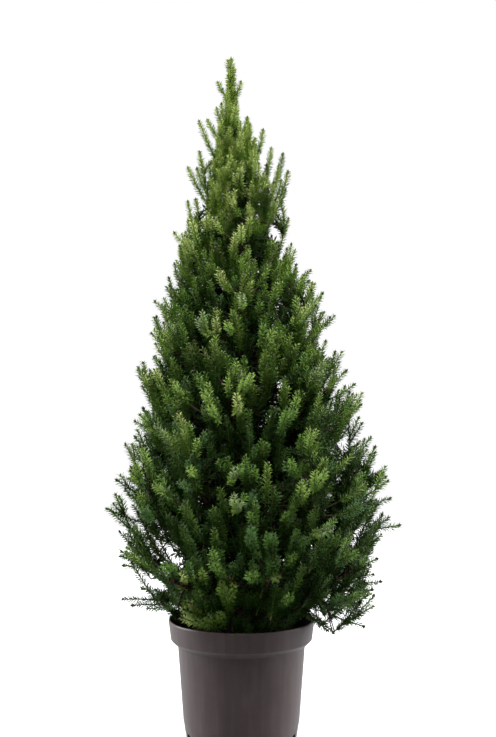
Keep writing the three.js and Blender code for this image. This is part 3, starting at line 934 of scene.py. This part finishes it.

# %% [markdown]
# ### Where no shoot grows
# A shoot that would hang over the rim rests on it on a real plant and bends up. Here the rules leave such
# shoots out: the skirt is drawn up at the front and on the left, so that the rim shows under it, and no
# shoot dips into the mix or crosses the lip. Near the top the crown's sides are left to single shoots,
# which are listed further on.

# %% Where no shoot grows
SKIRT_LIFT = dict(front=56, left=36)


def clear_of_the_rim(points):
    """Which points are above the rim's sight line, at the front and on the left, or inside the rim."""
    from_axis = np.hypot(points[:, 0], points[:, 1])
    front = np.clip(-points[:, 1] / np.maximum(from_axis, 1e-6), 0, 1) ** 2
    left = np.clip(-points[:, 0] / np.maximum(from_axis, 1e-6), 0, 1) ** 2
    lift = SKIRT_LIFT["front"] * front + SKIRT_LIFT["left"] * left
    return (points[:, 2] > CROWN["underside"] + lift) | (from_axis < POT["rim"])


def hangs_clear(lines):
    """Which shoots keep out of the mix and off the lip all along, and don't hang in front of it."""
    points = on_line(lines[:, None], np.array([[0, 0.3, 0.6, 1.0]]))
    from_axis = np.maximum(np.hypot(points[..., 0], points[..., 1]), 1e-6)
    front = np.clip(-points[..., 1] / from_axis, 0, 1) ** 2
    lowest = CROWN["underside"] - CROWN["droop"] * points[..., 0] / from_axis - 8 + 40 * front
    lowest = np.where(from_axis < POT["rim"] + 4, POT["height"] + 3, lowest)
    lowest = np.where(from_axis < POT["rim"] - 8, MIX["level"] + 6, lowest)
    return (points[..., 2] > lowest).all(1)


def leaves_the_sides(points):
    """Which points are in the crown's middle, or too low for the free shoots at its sides."""
    z = points[:, 2]
    aside = (points[:, 0] - trunk_centre(z)[:, 0]) / np.maximum(crown_radius(z, np.pi / 2), 1)
    return (z < 1010) | ((aside > -0.45) & (aside < 0.8))


print("the skirt starts", CROWN["underside"] + SKIRT_LIFT["front"], "mm up at the front")

# %% [markdown]
# ### Gaps and hollows
# At the lower left the eye looks right through the plant, and between the branches it looks into dark
# hollows. Both are places in the view from the front, so a shoot is tested where the eye sees it: its
# points are drawn onto the plane through the trunk along the line of sight. In a gap nothing grows. In a
# hollow about half of the shoots are left out, and the ones far inside show dark between the rest.

# %% Gaps and hollows
# Each: x, height, half of the width and half of the height, as seen on the plane through the trunk.
GAPS = [(-138, 369, 26, 9), (-146, 317, 17, 7)]
HOLLOWS = [(4, 1045, 14, 48), (30, 915, 18, 50), (-26, 752, 12, 120), (58, 515, 16, 52), (20, 252, 50, 14)]
HOLLOW_LUCK = 0.5


def seen_within(lines, places, shares):
    """Which shoots stand in one of the places, along the way the eye looks at them from the front."""
    points = on_line(lines[:, None], np.array([shares]))
    nearer = EYE_DISTANCE / (EYE_DISTANCE + points[..., 1])
    x, z = points[..., 0] * nearer, EYE_HEIGHT + (points[..., 2] - EYE_HEIGHT) * nearer
    within = np.zeros(len(lines), bool)
    for middle, height, half, tall in places:
        within |= (((x - middle) / half) ** 2 + ((z - height) / tall) ** 2 < 1).any(1)
    return within


def in_a_gap(lines):
    """Which shoots pass through a gap."""
    return seen_within(lines, GAPS, [0.25, 0.5, 0.75, 1.0])


def in_a_hollow(lines):
    """Which shoots end in a hollow at the front and are out of luck."""
    unlucky = rng.uniform(0, 1, len(lines)) < HOLLOW_LUCK
    return seen_within(lines, HOLLOWS, [0.6, 1.0]) & (lines[:, 2, 1] < 0) & unlucky


print(len(GAPS), "gaps and", len(HOLLOWS), "hollows")

# %% [markdown]
# ### Plumes in the bare places
# Each place gets a reach, which is longest at a branch end and shorter between two, and which is kept
# between a least and a most, so that no deep hole opens. The plume is then drawn backwards from its tip:
# its start follows the way the crown grows, with some chance. It stands only if the rules above allow it
# and no plume by the measured rule ends near it.

# %% Reach of the plumes in the bare places
PLUME_SPACING = 36.0
z, azimuth = even_places(PLUME_SPACING, lowest=250, highest=1262)
knot, off = nearest_knot(z, azimuth)
mass_end = np.clip(from_stem_ends(at_outline(z, azimuth, np.ones(len(z)))) / 110, 0, 1)
reach = 0.975 + knot_depth[knot] - 0.07 * mass_end - 0.17 * np.clip(off, 0, 1.4) ** 2
reach += odd_reach(z, azimuth) - 0.05 * np.clip(-np.sin(azimuth), 0, 1) ** 2
reach += rng.normal(0, 0.015, len(z)) - 0.08 * np.clip((z - 850) / 250, 0, 1)
grows = (off < 1.05) | (rng.uniform(0, 1, len(z)) < 0.36)
grows |= (np.abs(np.cos(azimuth)) > 0.6) & (z < 620)
z, azimuth, reach = z[grows], azimuth[grows], reach[grows]
least_reach = np.where(z > 1150, 0.3, np.where(z > 900, 0.48, 0.64))
reach = np.clip(reach, least_reach, np.where(z > 1050, 1.4, 1.22))
print(len(reach), "places with a reach")

# %% Plumes in the bare places
tips = at_outline(z, azimuth, reach)
length = np.clip(0.2 * crown_radius(z, azimuth) + 47, 47, 92) * rng.uniform(0.75, 1.2, len(z))
start = growth(tips, 28, 82) + rng.normal(0, 0.12, tips.shape)
start = unit(start + rng.normal(0, 0.2, tips.shape) * np.clip((420 - z) / 120, 0, 1)[:, None])
fill = shoot_line(tips - start * length[:, None] * 0.95, start, length, 54, 89)
fill += (tips - fill[:, 2])[:, None]
ruled_tips = np.array([line[2] for _, line in ruled])
limit = 1.03 + odd_reach(ruled_tips[:, 2], azimuth_of(ruled_tips))
fine = clear_of_the_rim(ruled_tips) & (outline_share(ruled_tips) < limit) & leaves_the_sides(ruled_tips)
ruled = [pair for pair, keep in zip(ruled, fine) if keep]
ruled_tips = ruled_tips[fine]
lonely = np.linalg.norm(tips[:, None] - ruled_tips, axis=2).min(1) > 20
lonely &= off_the_pot(fill[:, 2], 5) & off_the_pot(fill[:, 1], 4) & clear_of_the_rim(fill[:, 2])
lonely &= hangs_clear(fill) & leaves_the_sides(fill[:, 2]) & ~in_a_gap(fill) & ~in_a_hollow(fill)
fill = fill[lonely]
print(len(fill), "plumes in bare places")

# %% [markdown]
# ### The skirt and the fans
# The lowest plumes reach out level over the rim, each drawn backwards from its tip like the others. They
# ride a little lower on the right, where the crown droops. Round the rim little fans of short shoots
# close the space between the skirt and the mix.

# %% The skirt's lowest plumes
LOW_PLUMES = 110
azimuth = GOLDEN_TURN * np.arange(LOW_PLUMES) + 0.2
right, left = np.clip(np.cos(azimuth), 0, 1), np.clip(-np.cos(azimuth), 0, 1)
z = CROWN["underside"] - CROWN["droop"] * np.cos(azimuth) + 4
z += 46 * rng.uniform(0, 1, LOW_PLUMES) ** 1.3 * (1 - 0.6 * right - 0.5 * left)
tips = at_outline(z, azimuth, rng.uniform(0.84, 1.14, LOW_PLUMES) - 0.17 * right)
outward = unit((tips - trunk_centre(z)) * [1, 1, 0])
start = unit(outward + UP * rng.normal(-0.06, 0.12, (LOW_PLUMES, 1)))
skirt = shoot_line(tips - start * 88, start, rng.uniform(70, 98, LOW_PLUMES), 2, 60)
skirt += (tips - skirt[:, 2])[:, None]
clear = off_the_pot(skirt[:, 2], 2) & off_the_pot(skirt[:, 1], 3) & clear_of_the_rim(skirt[:, 2])
skirt = skirt[clear & hangs_clear(skirt)]
print(len(skirt), "low plumes")

# %% Fans round the rim
# Each: middle azimuth, half of the spread, number, lowest and highest tip, how far out the tips stand.
FANS = [
    (-2.1, 0.3, 24, 252, 302, 148), (-1.2, 0.45, 16, 241, 258, 116), (2.6, 0.9, 14, 246, 280, 116),
    (0.6, 0.9, 14, 246, 280, 116), (-0.6, 0.45, 20, 243, 272, 122), (-1.26, 0.42, 24, 284, 318, 148),
]
fans = []
for middle, spread, number, low, high, far in FANS:
    azimuth = middle + spread * np.linspace(-1, 1, number) + rng.normal(0, 0.05, number)
    z = rng.uniform(low, high, number)
    out = np.stack([np.cos(azimuth), np.sin(azimuth), 0 * azimuth], -1)
    tips = out * (far + rng.uniform(-12, 12, number))[:, None] + UP * z[:, None]
    start = unit(out + UP * rng.uniform(0.3, 1.3, (number, 1)) + rng.normal(0, 0.2, (number, 3)))
    shoots = shoot_line(tips - start * 48, start, rng.uniform(40, 56, number), 20, 60)
    shoots += (tips - shoots[:, 2])[:, None]
    shoots[:, 0, 2] = np.maximum(shoots[:, 0, 2], MIX["level"] + 3)
    fans.append(shoots)
print(sum(len(some) for some in fans), "shoots in", len(fans), "fans")

# %% [markdown]
# ### Free shoots
# A few shoots stand alone against the sky, beside the leader and under the skirt, and the eye knows the
# plant by them. A rule would only come near, so they are listed one by one, each with its tip and its
# root. The bend between them makes a shoot leave its branch outwards and then turn up.

# %% Free shoots
# Each: tip x and height, root x and height, depth.
FREE_SHOOTS = np.array([
    (-80, 1184, -50, 1115, -8), (-64, 1190, -35, 1140, 10), (-47, 1209, -34, 1172, -6),
    (-44, 1261, -30, 1236, 4), (-2, 1260, -14, 1232, -5), (11, 1194, 4, 1165, 6),
    (41, 1167, 29, 1120, -10), (57, 1135, 46, 1078, 8), (79, 1122, 64, 1064, -6),
    (89, 1091, 74, 1042, 12), (83, 1052, 60, 1005, -14), (-102, 1098, -73, 1042, 8),
    (-84, 1093, -66, 1045, -12), (-60, 1091, -54, 1043, -26), (-88, 1037, -78, 995, 10),
    (70, 1095, 58, 1040, -24), (76, 1074, 60, 1022, 16), (60, 1062, 50, 1010, -32),
    (48, 1096, 42, 1045, -36), (64, 1030, 52, 985, -38), (232, 220, 172, 240, -5),
    (172, 216, 130, 252, -36), (158, 228, 116, 258, -70), (-225, 270, -152, 268, 6),
    (-206, 262, -150, 262, -14), (168, 238, 118, 264, 10), (186, 250, 128, 274, -24),
    (150, 242, 104, 264, -80), (172, 262, 122, 282, -46), (158, 268, 112, 286, -84),
    (-230, 352, -166, 338, 4), (-222, 338, -158, 328, -18),
])
free_tips = FREE_SHOOTS[:, [0, 4, 1]]
free_roots = FREE_SHOOTS[:, [2, 4, 3]] * [1, 0.6, 1]
outward = np.sign(FREE_SHOOTS[:, :1] - CROWN["lean"])
free_bends = mix(free_roots, free_tips, 0.45) + outward * [3, 0, -2]
free = np.stack([free_roots, free_bends, free_tips], 1)
fill = np.concatenate([fill, free, skirt, *fans])
print(len(free), "free shoots")

# %% [markdown]
# ### Every plume and what carries it
# A plume needs a twig, and the twig leaves the nearest stem a little way back from the nearest place, so
# that it slants forward as it grew. The stems and the leader end in plumes of their own.

# %% Every plume and the twig that carries it
foot, way = nearest_foot(fill[:, 0], 4)
plume_lines = np.concatenate([np.array([line for _, line in ruled]), fill])
branchlets = np.concatenate([np.array([twig for twig, _ in ruled]), twig_between(foot, way, fill[:, 0])])
print(len(branchlets), "twigs with a plume")

# %% The ends of the stems and the leader
stem_ends = np.array([stretch(stem["foliage"], 0.72, 1.0) for stem in stems[:-1]])
leader = stems[-1]["foliage"]
leader_halves = [stretch(leader, 0.0, 0.5), stretch(leader, 0.5, 0.97)]
plume_lines = np.concatenate([plume_lines, stem_ends, leader_halves])
plume_knot, _ = nearest_knot(plume_lines[:, 2, 2], azimuth_of(plume_lines[:, 2]))
print(len(plume_lines), "plumes in all")

# %% [markdown]
# ## Side shoots
# A plume is not one brush but a small bouquet: side shoots fork off it at twenty to thirty-five degrees
# and turn up beside it. They leave at golden turns as well, and get shorter towards the tip, so that the
# middle shoot of each plume stands proud. Only those that turn upright stay: one that points at the eye
# would show as a round rosette.

# %% A frame across a shoot, and shoots that fork off it
def frames(ways, asides=None):
    """Two directions across each way."""
    if asides is None:
        asides = np.where(np.abs(ways[..., 2:3]) < 0.8, UP, EAST)
    across = unit(np.cross(ways, asides))
    return across, np.cross(ways, across)


def side_shoots(lines, each, first, last, longest, shortest, spread):
    """`each` shoots from every line, spread along it."""
    parent = np.repeat(np.arange(len(lines)), each)
    order = np.tile(np.arange(each), len(lines))
    share = mix(first, last, (order + rng.uniform(0.2, 0.8, len(order))) / each)
    way = heading(lines[parent], share)
    across, other = frames(way)
    turn = (order * GOLDEN_TURN + rng.uniform(0, 2 * np.pi, len(lines))[parent])[:, None]
    slant = (spread * rng.uniform(0.75, 1.2, len(order)))[:, None]
    start = unit(way * np.cos(slant) + (across * np.cos(turn) + other * np.sin(turn)) * np.sin(slant))
    length = mix(longest, shortest, share) * rng.uniform(0.8, 1.15, len(order))
    root = on_line(lines[parent], share)
    return parent, shoot_line(root, start, length, 34, 86)


def keep_inside(lines, outline):
    """Which shoots keep off the pot and near the crown's outline."""
    outline = outline + odd_reach(lines[:, 2, 2], azimuth_of(lines[:, 2]))
    return (outline_share(lines[:, 2]) <= outline) & off_the_pot(lines[:, 2], 5) & off_the_pot(lines[:, 1], 4)


print(int(keep_inside(plume_lines, 1.02).sum()), "plumes end within the outline")

# %% Side shoots
FORK_LUCK = 0.85
PLUME_FORKS = dict(each=2, first=0.12, last=0.6, longest=52, shortest=28, spread=math.radians(28))
LEADER_FORKS = dict(each=22, first=0.03, last=0.92, longest=44, shortest=15, spread=math.radians(23))
parent, forks = side_shoots(plume_lines, **PLUME_FORKS)
tips = forks[:, 2]
fine = keep_inside(forks, 1.02) & (tips[:, 2] < 1235) & (parent < len(plume_lines) - 1)
fine &= clear_of_the_rim(tips) & hangs_clear(forks) & leaves_the_sides(tips) & ~in_a_gap(forks)
fine &= rng.uniform(0, 1, len(forks)) < FORK_LUCK
fine &= heading(forks, 1.0)[:, 2] > mix(0.45, 0.8, np.clip((tips[:, 2] - 300) / 250, 0, 1))
fine &= ~in_a_hollow(forks)
_, spire = side_shoots(np.array([leader]), **LEADER_FORKS)
from_leader = np.abs(spire[:, 2, 0] - trunk_centre(spire[:, 2, 2])[:, 0])
spire = spire[(keep_inside(spire, 1.15) & (spire[:, 2, 2] < 1240)) | (from_leader < 8)]
print(int(fine.sum()), "forks and", len(spire), "shoots on the leader")

# %% All shoots that fork off
# Near the top the twigs that carry plumes are in sight, and have needles too.
twig_lengths = np.linalg.norm(branchlets[:, 2] - branchlets[:, 0], axis=1)
in_sight = np.flatnonzero((branchlets[:, 2, 2] > 985) & (twig_lengths > 16))
parent = np.concatenate([parent[fine], np.full(len(spire), len(plume_lines) - 1), in_sight])
forks = np.concatenate([forks[fine], spire, branchlets[in_sight]])
forks = np.where(forks[:, 2:3, 2:3] > CROWN["top"] - 8, forks - [0, 0, 30], forks)
print(len(forks), "side shoots")

# %% [markdown]
# ## Shade shoots
# Inside the shell the old twigs carry a thin coat of older needles, coloured dark as painted shade. They
# close the crown to the eye without filling it, so that the sky shows only at its edges and in the gaps.
# Twigs grow from the nearest stem to places spread through the crown's inside.

# %% Shade shoots
SHADE_TWIGS = 1950
heights = np.linspace(243, 1150, 500)
volume = np.cumsum(crown_radius(heights, np.pi / 2) ** 1.3)
z = np.interp(rng.uniform(0, 1, SHADE_TWIGS) * volume[-1], volume, heights)
azimuth = rng.uniform(0, 2 * np.pi, SHADE_TWIGS)
outermost = np.where(z < 600, 0.6, 0.54)
share = np.sqrt(rng.uniform(0.005, outermost)) * (1 + 1.4 * np.minimum(0, odd_reach(z, azimuth)))
inside = at_outline(z, azimuth, share)
foot, way = nearest_foot(inside, 3)
shade_lines = twig_between(foot, way, inside)
gap = np.linalg.norm(inside - foot, axis=1)
shade_lines = shade_lines[(gap > 18) & (gap < 150) & off_the_pot(inside, 6)]
print(len(shade_lines), "shade shoots from the stems")

# %% Old twigs on the trunk itself
TRUNK_TWIGS = 380
heights = np.linspace(243, 1200, 500)
volume = np.cumsum(crown_radius(heights, np.pi / 2) ** 0.9)
z = np.interp((np.arange(TRUNK_TWIGS) + 0.5) / TRUNK_TWIGS * volume[-1], volume, heights)
azimuth = GOLDEN_TURN * np.arange(TRUNK_TWIGS)
out = np.stack([np.cos(azimuth), np.sin(azimuth), rng.uniform(0.1, 1.1, TRUNK_TWIGS)], -1)
root = trunk_centre(z) + out * [1, 1, 0] * trunk_radius(z)[:, None]
reach = np.minimum(0.42 * crown_radius(z, azimuth), 85) * rng.uniform(0.7, 1.1, TRUNK_TWIGS)
trunk_twigs = shoot_line(root, unit(out), reach, 20, 70)
print(len(trunk_twigs), "twigs on the trunk")

# %% Old twigs behind the hollows
# They stand closer there, and in the closed places too, so that no sky shows through.
CLOSED = [
    (60, 485, 20, 28), (76, 313, 20, 28), (62, 655, 26, 34), (-92, 775, 14, 18), (60, 575, 20, 30),
    (40, 1000, 14, 30),
]
behind = []
for middle, height, half, tall in HOLLOWS + CLOSED:
    number = int(half * tall / 32)
    aside, up = rng.uniform(-1.2, 1.2, number), rng.uniform(-1.1, 1.1, number)
    behind.append(np.stack([middle + half * aside, rng.uniform(-50, 70, number), height + tall * up], 1))
behind = np.concatenate(behind)
behind = behind[(outline_share(behind) < 0.7) & off_the_pot(behind, 6)]
foot, way = nearest_foot(behind, 3)
shade_lines = np.concatenate([shade_lines, trunk_twigs, twig_between(foot, way, behind)])
shade_lines = shade_lines[(shade_lines[:, 2, 2] < 1040) | (outline_share(shade_lines[:, 2]) < 0.42)]
shade_lines = shade_lines[~in_a_gap(shade_lines) & clear_of_the_rim(shade_lines[:, 2] - [0, 0, 12])]
print(len(shade_lines), "shade shoots")

# %% [markdown]
# ## Needles
# A spruce needle is stiff, four-sided and about ten millimetres long. Here each is four triangles: a
# keeled spindle with its root in the twig. Needles stand all round a shoot at golden turns, at a wide
# angle on its lower part and closing to a brush round the bud. They are two to three times as wide as
# life, and the old ones inside wider still, so that a quarter of a million of them look like the many
# more on the plant.

# %% Needles as arrays
# The corners are root, tip and the two sides of the waist.
NEEDLE_FACES = np.array([[0, 1, 2], [0, 3, 1], [0, 2, 3], [3, 2, 1]])


def needles_on(lines, per_mm, long, wide, first=0.06):
    """Every needle of the shoots as four points, the shoot it stands on, and how far along it."""
    lengths = np.linalg.norm(lines[:, 2] - lines[:, 0], axis=1) * (1 - first)
    counts = np.maximum(4, np.round(lengths * per_mm)).astype(int)
    shoot = np.repeat(np.arange(len(lines)), counts)
    order = np.arange(counts.sum()) - np.repeat(np.cumsum(counts) - counts, counts)
    share = first + (1 - first) * (order + 0.5) / counts[shoot]
    root, way = on_line(lines[shoot], share), heading(lines[shoot], share)
    across, other = frames(way, np.where(np.abs(heading(lines, 0.5)[shoot][:, 2:3]) < 0.8, UP, EAST))
    turn = (order * GOLDEN_TURN + shoot * 1.7 + rng.normal(0, 0.25, len(order)))[:, None]
    away = across * np.cos(turn) + other * np.sin(turn)
    near_tip = np.clip((share - 0.78) / 0.22, 0, 1)
    slant = np.radians(mix(58, 41, near_tip**1.3) + rng.normal(0, 6, len(order)))[:, None]
    needle = unit(way * np.cos(slant) + away * np.sin(slant))
    side = np.cross(way, away)
    top = np.cross(needle, side)
    size = np.broadcast_to(long, len(lines))[shoot] * mix(1, 0.8, near_tip)
    size = (size * rng.uniform(0.8, 1.1, len(order)))[:, None]
    half = np.broadcast_to(wide, len(lines))[shoot][:, None] / 2
    middle = root + needle * size * 0.58 + top * half * 0.6
    points = np.stack([root, root + needle * size, middle + side * half, middle - side * half], 1)
    return points, shoot, share


print(len(NEEDLE_FACES), "triangles to a needle")

# %% Needles of every shoot
outer = np.concatenate([plume_lines, forks])
outer_plume = np.concatenate([np.arange(len(plume_lines)), parent])
height = np.clip(crown_share(outer[:, 2, 2]), 0, 1)
crowded = mix(1.45, 2.25, np.clip((outer[:, 2, 2] - 960) / 160, 0, 1))
long, wide = mix(13.0, 10.5, height), mix(2.6, 2.9, height)
long[len(plume_lines) - 1] *= 1.3
outer_needles, outer_shoot, outer_place = needles_on(outer, crowded, long, wide)
shade_long = mix(17.0, 11.0, np.clip((shade_lines[:, 2, 2] - 700) / 450, 0, 1))
shade_needles, _, _ = needles_on(shade_lines, per_mm=0.5, long=shade_long, wide=4.8, first=0.15)
print(len(outer_needles), "outer needles,", len(shade_needles), "in the shade")

# %% [markdown]
# ## Greens dealt out by shoot
# New growth is yellow-green, last year's needles are a full green, some shoots have a blue bloom and old
# ones turn olive. Each shoot gets one green by its height, how far out its tip is, the luck of its branch
# end and chance. Height and reach are painted light: shoots high up and standing proud get the lighter
# greens, and those further in get the darker ones as painted shade. Each green is its own joined piece
# with a plain colour, so the colours keep their place.

# %% Which green each shoot has
GREENS = {
    "new_growth": "#B2C472",
    "fresh": "#8AAA4C",
    "leaf": "#688E39",
    "deep": "#446B27",
    "bluish": "#4B7138",
    "frosted": "#8EA56C",
    "olive": "#5F7431",
}
NAMES = list(GREENS)
plume_luck = 0.5 * knot_luck[plume_knot] + 0.5 * rng.uniform(0, 1, len(plume_lines))
# Painted light: the higher a shoot and the further out its tip, the lighter its green; further in it is
# darker, as painted shade.
proud = np.clip(outline_share(outer[:, 2]), 0.7, 1.05) - 0.9
light = 0.28 * plume_luck[outer_plume] + 0.14 * rng.uniform(0, 1, len(outer))
light = light + 0.35 * height + 0.43 * height**3 + 0.7 * proud
# The leader is new growth.
light[np.isin(outer_plume, [len(plume_lines) - 2, len(plume_lines) - 1])] += 0.5
# Painted light and painted shade on a few places of the front, which make the greens there lighter or
# darker: x, height, half of the width, half of the height, how much.
PAINTED_LIGHT_AND_SHADE = [(-80, 262, 48, 32, 0.3), (-75, 333, 72, 26, 0.25), (40, 308, 72, 20, 0.15), (42, 408, 54, 34, -0.45)]
for middle, up, half, tall, amount in PAINTED_LIGHT_AND_SHADE:
    aside, rise = (outer[:, 2, 0] - middle) / half, (outer[:, 2, 2] - up) / tall
    light[(outer[:, 2, 1] < -60) & (aside**2 + rise**2 < 1)] += amount
cuts = np.quantile(light, [0.38, 0.67, 0.87])
green = np.choose(np.searchsorted(cuts, light), [3, 2, 1, 0])
knot_oddness = rng.uniform(0, 1, len(knot_z))[plume_knot]
odd = (0.6 * knot_oddness + 0.4 * rng.uniform(0, 1, len(plume_lines)))[outer_plume]
green = np.where((odd < 0.22) & (green > 1), 4, green)
green = np.where((odd > 0.3) & (odd < 0.42) & (green < 2) & (proud > -0.02), 5, green)
green = np.where((odd > 0.86) & (height < 0.8), 6, green)
print({name: int((green == i).sum()) for i, name in enumerate(NAMES)})

# %% Older needles, darker also as painted shade
# The needles low on a shoot are a year older and darker, and the darker base also paints the shade
# inside the brush: for each green, the place of the older one.
DARKER = np.array([1, 2, 3, 3, 3, 1, 3])
needle_green = green[outer_shoot]
older_and_shaded = outer_place < 0.42 + rng.normal(0, 0.08, len(outer_place))
needle_green = np.where(older_and_shaded, DARKER[needle_green], needle_green)
print(int(older_and_shaded.sum()), "older needles")

# %% [markdown]
# ### Joined meshes from arrays
# A quarter of a million needles would be slow as objects, so each green is one mesh or a few, made from
# an array of points and an array of faces that repeats the same four triangles. No mesh passes two
# hundred thousand triangles.

# %% Joined meshes from arrays
def mesh_from(points, faces, smooth=False):
    """One mesh of many copies: points (copies, points of one, 3), faces of one."""
    copies, each = points.shape[0], points.shape[1]
    corners = (faces[None] + each * np.arange(copies)[:, None, None]).reshape(-1, 3)
    mesh = bpy.data.meshes.new("joined")
    mesh.vertices.add(copies * each)
    mesh.vertices.foreach_set("co", (points.reshape(-1) * MM).astype(np.float32))
    mesh.loops.add(corners.size)
    mesh.loops.foreach_set("vertex_index", corners.reshape(-1).astype(np.int32))
    mesh.polygons.add(len(corners))
    mesh.polygons.foreach_set("loop_start", np.arange(0, corners.size, 3, dtype=np.int32))
    mesh.polygons.foreach_set("use_smooth", np.full(len(corners), smooth))
    mesh.update(calc_edges=True)
    mesh.validate()
    return mesh


MOST = 190000


def hand_over_joined(name, points, faces, finish, smooth=False):
    """Many copies as one piece, or as a few numbered ones where one would pass the limit."""
    parts = max(1, math.ceil(len(points) * len(faces) / MOST))
    for i, some in enumerate(np.array_split(points, parts)):
        label = name if parts == 1 else f"{name}_{i + 1}"
        hand_over(label, mesh_from(some, faces, smooth), finish, FOLIAGE)


print("at most", MOST, "triangles to a piece")

# %% [markdown]
# ### The finish of a needle
# A spruce needle has a thin coat of wax, which gives the eye a soft gloss over the plain green. The blue
# and the frosted ones carry more of it, as a bloom that is duller. The old needles inside the crown take
# two colours of painted shade: nearly black deep in, and a lighter green of painted half light high up
# and towards the outside.

# %% Needle finishes
def needle_finish(name, colour, roughness):
    """Plain green under a thin coat of wax: the more bloom it has, the rougher it is."""
    made, tree = new_finish(name)
    wax = {"Roughness": roughness, "IOR": 1.45, "Specular IOR Level": 0.28}
    surface(tree, {"Base Color": linear(colour), **wax})
    return made


for i, name in enumerate(NAMES):
    roughness = 0.7 if name in ("bluish", "frosted") else 0.58
    finish = needle_finish("waxed_needle_" + name, GREENS[name], roughness)
    hand_over_joined("needles_" + name, outer_needles[needle_green == i], NEEDLE_FACES, finish)
# Painted shade: the old needles are nearly black deep in the crown and lighter green high up and far out.
painted_shade_finish = needle_finish("old_needle_painted_shade", "#1D330E", 0.75)
painted_half_light_finish = needle_finish("old_needle_painted_half_light", "#294816", 0.7)
# Which old needles get the painted half light: those above 930 mm or beyond 0.6 of the outline.
thin = (shade_needles[:, 0, 2] > 930) | (outline_share(shade_needles[:, 0]) > 0.6)
hand_over_joined("needles_painted_shade", shade_needles[~thin], NEEDLE_FACES, painted_shade_finish)
hand_over_joined("needles_painted_half_light", shade_needles[thin], NEEDLE_FACES, painted_half_light_finish)

# %% [markdown]
# ## Twigs and buds
# The axes of the young shoots are smooth, olive to yellow-green and about as thick as a match. Each is a
# three-sided tube that bends with its shoot, a little thicker than life, and ends in a blunt brown bud.
# The buds are drawn about twice their size, so that they show between the needles.

# %% Twigs as arrays
def tube_faces(rings, sides):
    """The triangles of a closed tube."""
    faces = []
    for r in range(rings - 1):
        for s in range(sides):
            a, b = r * sides + s, r * sides + (s + 1) % sides
            faces += [[a, b, b + sides], [a, b + sides, a + sides]]
    last = (rings - 1) * sides
    faces += [[0, s + 1, s] for s in range(1, sides - 1)]
    faces += [[last, last + s, last + s + 1] for s in range(1, sides - 1)]
    return np.array(faces)


def tubes(lines, thick, thin, rings=3, sides=3):
    """The points of a tube along each line; thick and thin are its radii at the root and the tip."""
    shares = np.linspace(0, 1, rings)[None]
    centre, way = on_line(lines[:, None], shares), heading(lines[:, None], shares)
    asides = np.where(np.abs(heading(lines, 0.5)[:, None, 2:3]) < 0.8, UP, EAST)
    across, other = frames(way, np.broadcast_to(asides, way.shape))
    turn = (2 * np.pi * np.arange(sides) / sides)[None, None, :, None]
    radius = mix(thick, thin, shares)[..., None, None]
    spokes = across[:, :, None] * np.cos(turn) + other[:, :, None] * np.sin(turn)
    ring = centre[:, :, None] + radius * spokes
    return ring.reshape(len(lines), -1, 3)


TWIG_FACES = tube_faces(rings=3, sides=3)
print(len(TWIG_FACES), "triangles to a twig")

# %% Buds as arrays
def buds(lines, long, wide):
    """An egg of eight faces on the tip of each shoot."""
    tip, way = lines[:, 2], heading(lines, 1.0)
    across, other = frames(way)
    waist = tip + way * long * 0.35
    ring = [waist + (across * c + other * s) * wide / 2 for c, s in ((1, 0), (0, 1), (-1, 0), (0, -1))]
    return np.stack([tip - way * long * 0.1, *ring, tip + way * long * 0.9], 1)


BUD_FACES = np.array([[0, 2, 1], [0, 3, 2], [0, 4, 3], [0, 1, 4], [5, 1, 2], [5, 2, 3], [5, 3, 4], [5, 4, 1]])
print(len(BUD_FACES), "triangles to a bud")

# %% [markdown]
# ### The finish of twigs and buds
# A young twig is smooth and dull green, so it takes a plain colour and a middling roughness. An old one
# is grey-brown and rough. A bud's scales are glued with resin that has gone dull, and at this size all
# the eye gets of them is a brown point.

# %% Twig and bud finishes
young_twig, tree = new_finish("young_spruce_twig")
surface(tree, {"Base Color": linear("#788440"), "Roughness": 0.6, "IOR": 1.45})
old_twig, tree = new_finish("old_spruce_twig")
surface(tree, {"Base Color": linear("#463226"), "Roughness": 0.85, "IOR": 1.45})
bud_scale, tree = new_finish("resinous_bud_scale")
surface(tree, {"Base Color": linear("#443E3A"), "Roughness": 0.8, "IOR": 1.45})

# %% Twigs and buds
# Each: name, lines, radius at the root and at the tip, finish.
TWIGS = [
    ("branchlets", branchlets, 2.0, 1.3, old_twig),
    ("shade_twigs", shade_lines, 1.2, 0.8, old_twig),
    ("shoot_twigs", outer, 1.6, 1.0, young_twig),
]
for name, lines, thick, thin, finish in TWIGS:
    hand_over_joined(name, tubes(lines, thick, thin), TWIG_FACES, finish, smooth=True)
leads = np.arange(len(outer)) < len(plume_lines)
bud_size = np.where(leads, 8.8, 6.2)[:, None]
bud_points = buds(outer, long=bud_size, wide=0.58 * bud_size)
hand_over_joined("buds", bud_points, BUD_FACES, bud_scale, smooth=True)

# %% [markdown]
# ## Closing
# The last cell adds up the triangles of every piece.

# %% Sizes and finish
total = sum(sum(len(face.vertices) - 2 for face in piece.data.polygons) for piece in made_pieces)
print("whole plant", total, "triangles,", len(made_pieces), "pieces")
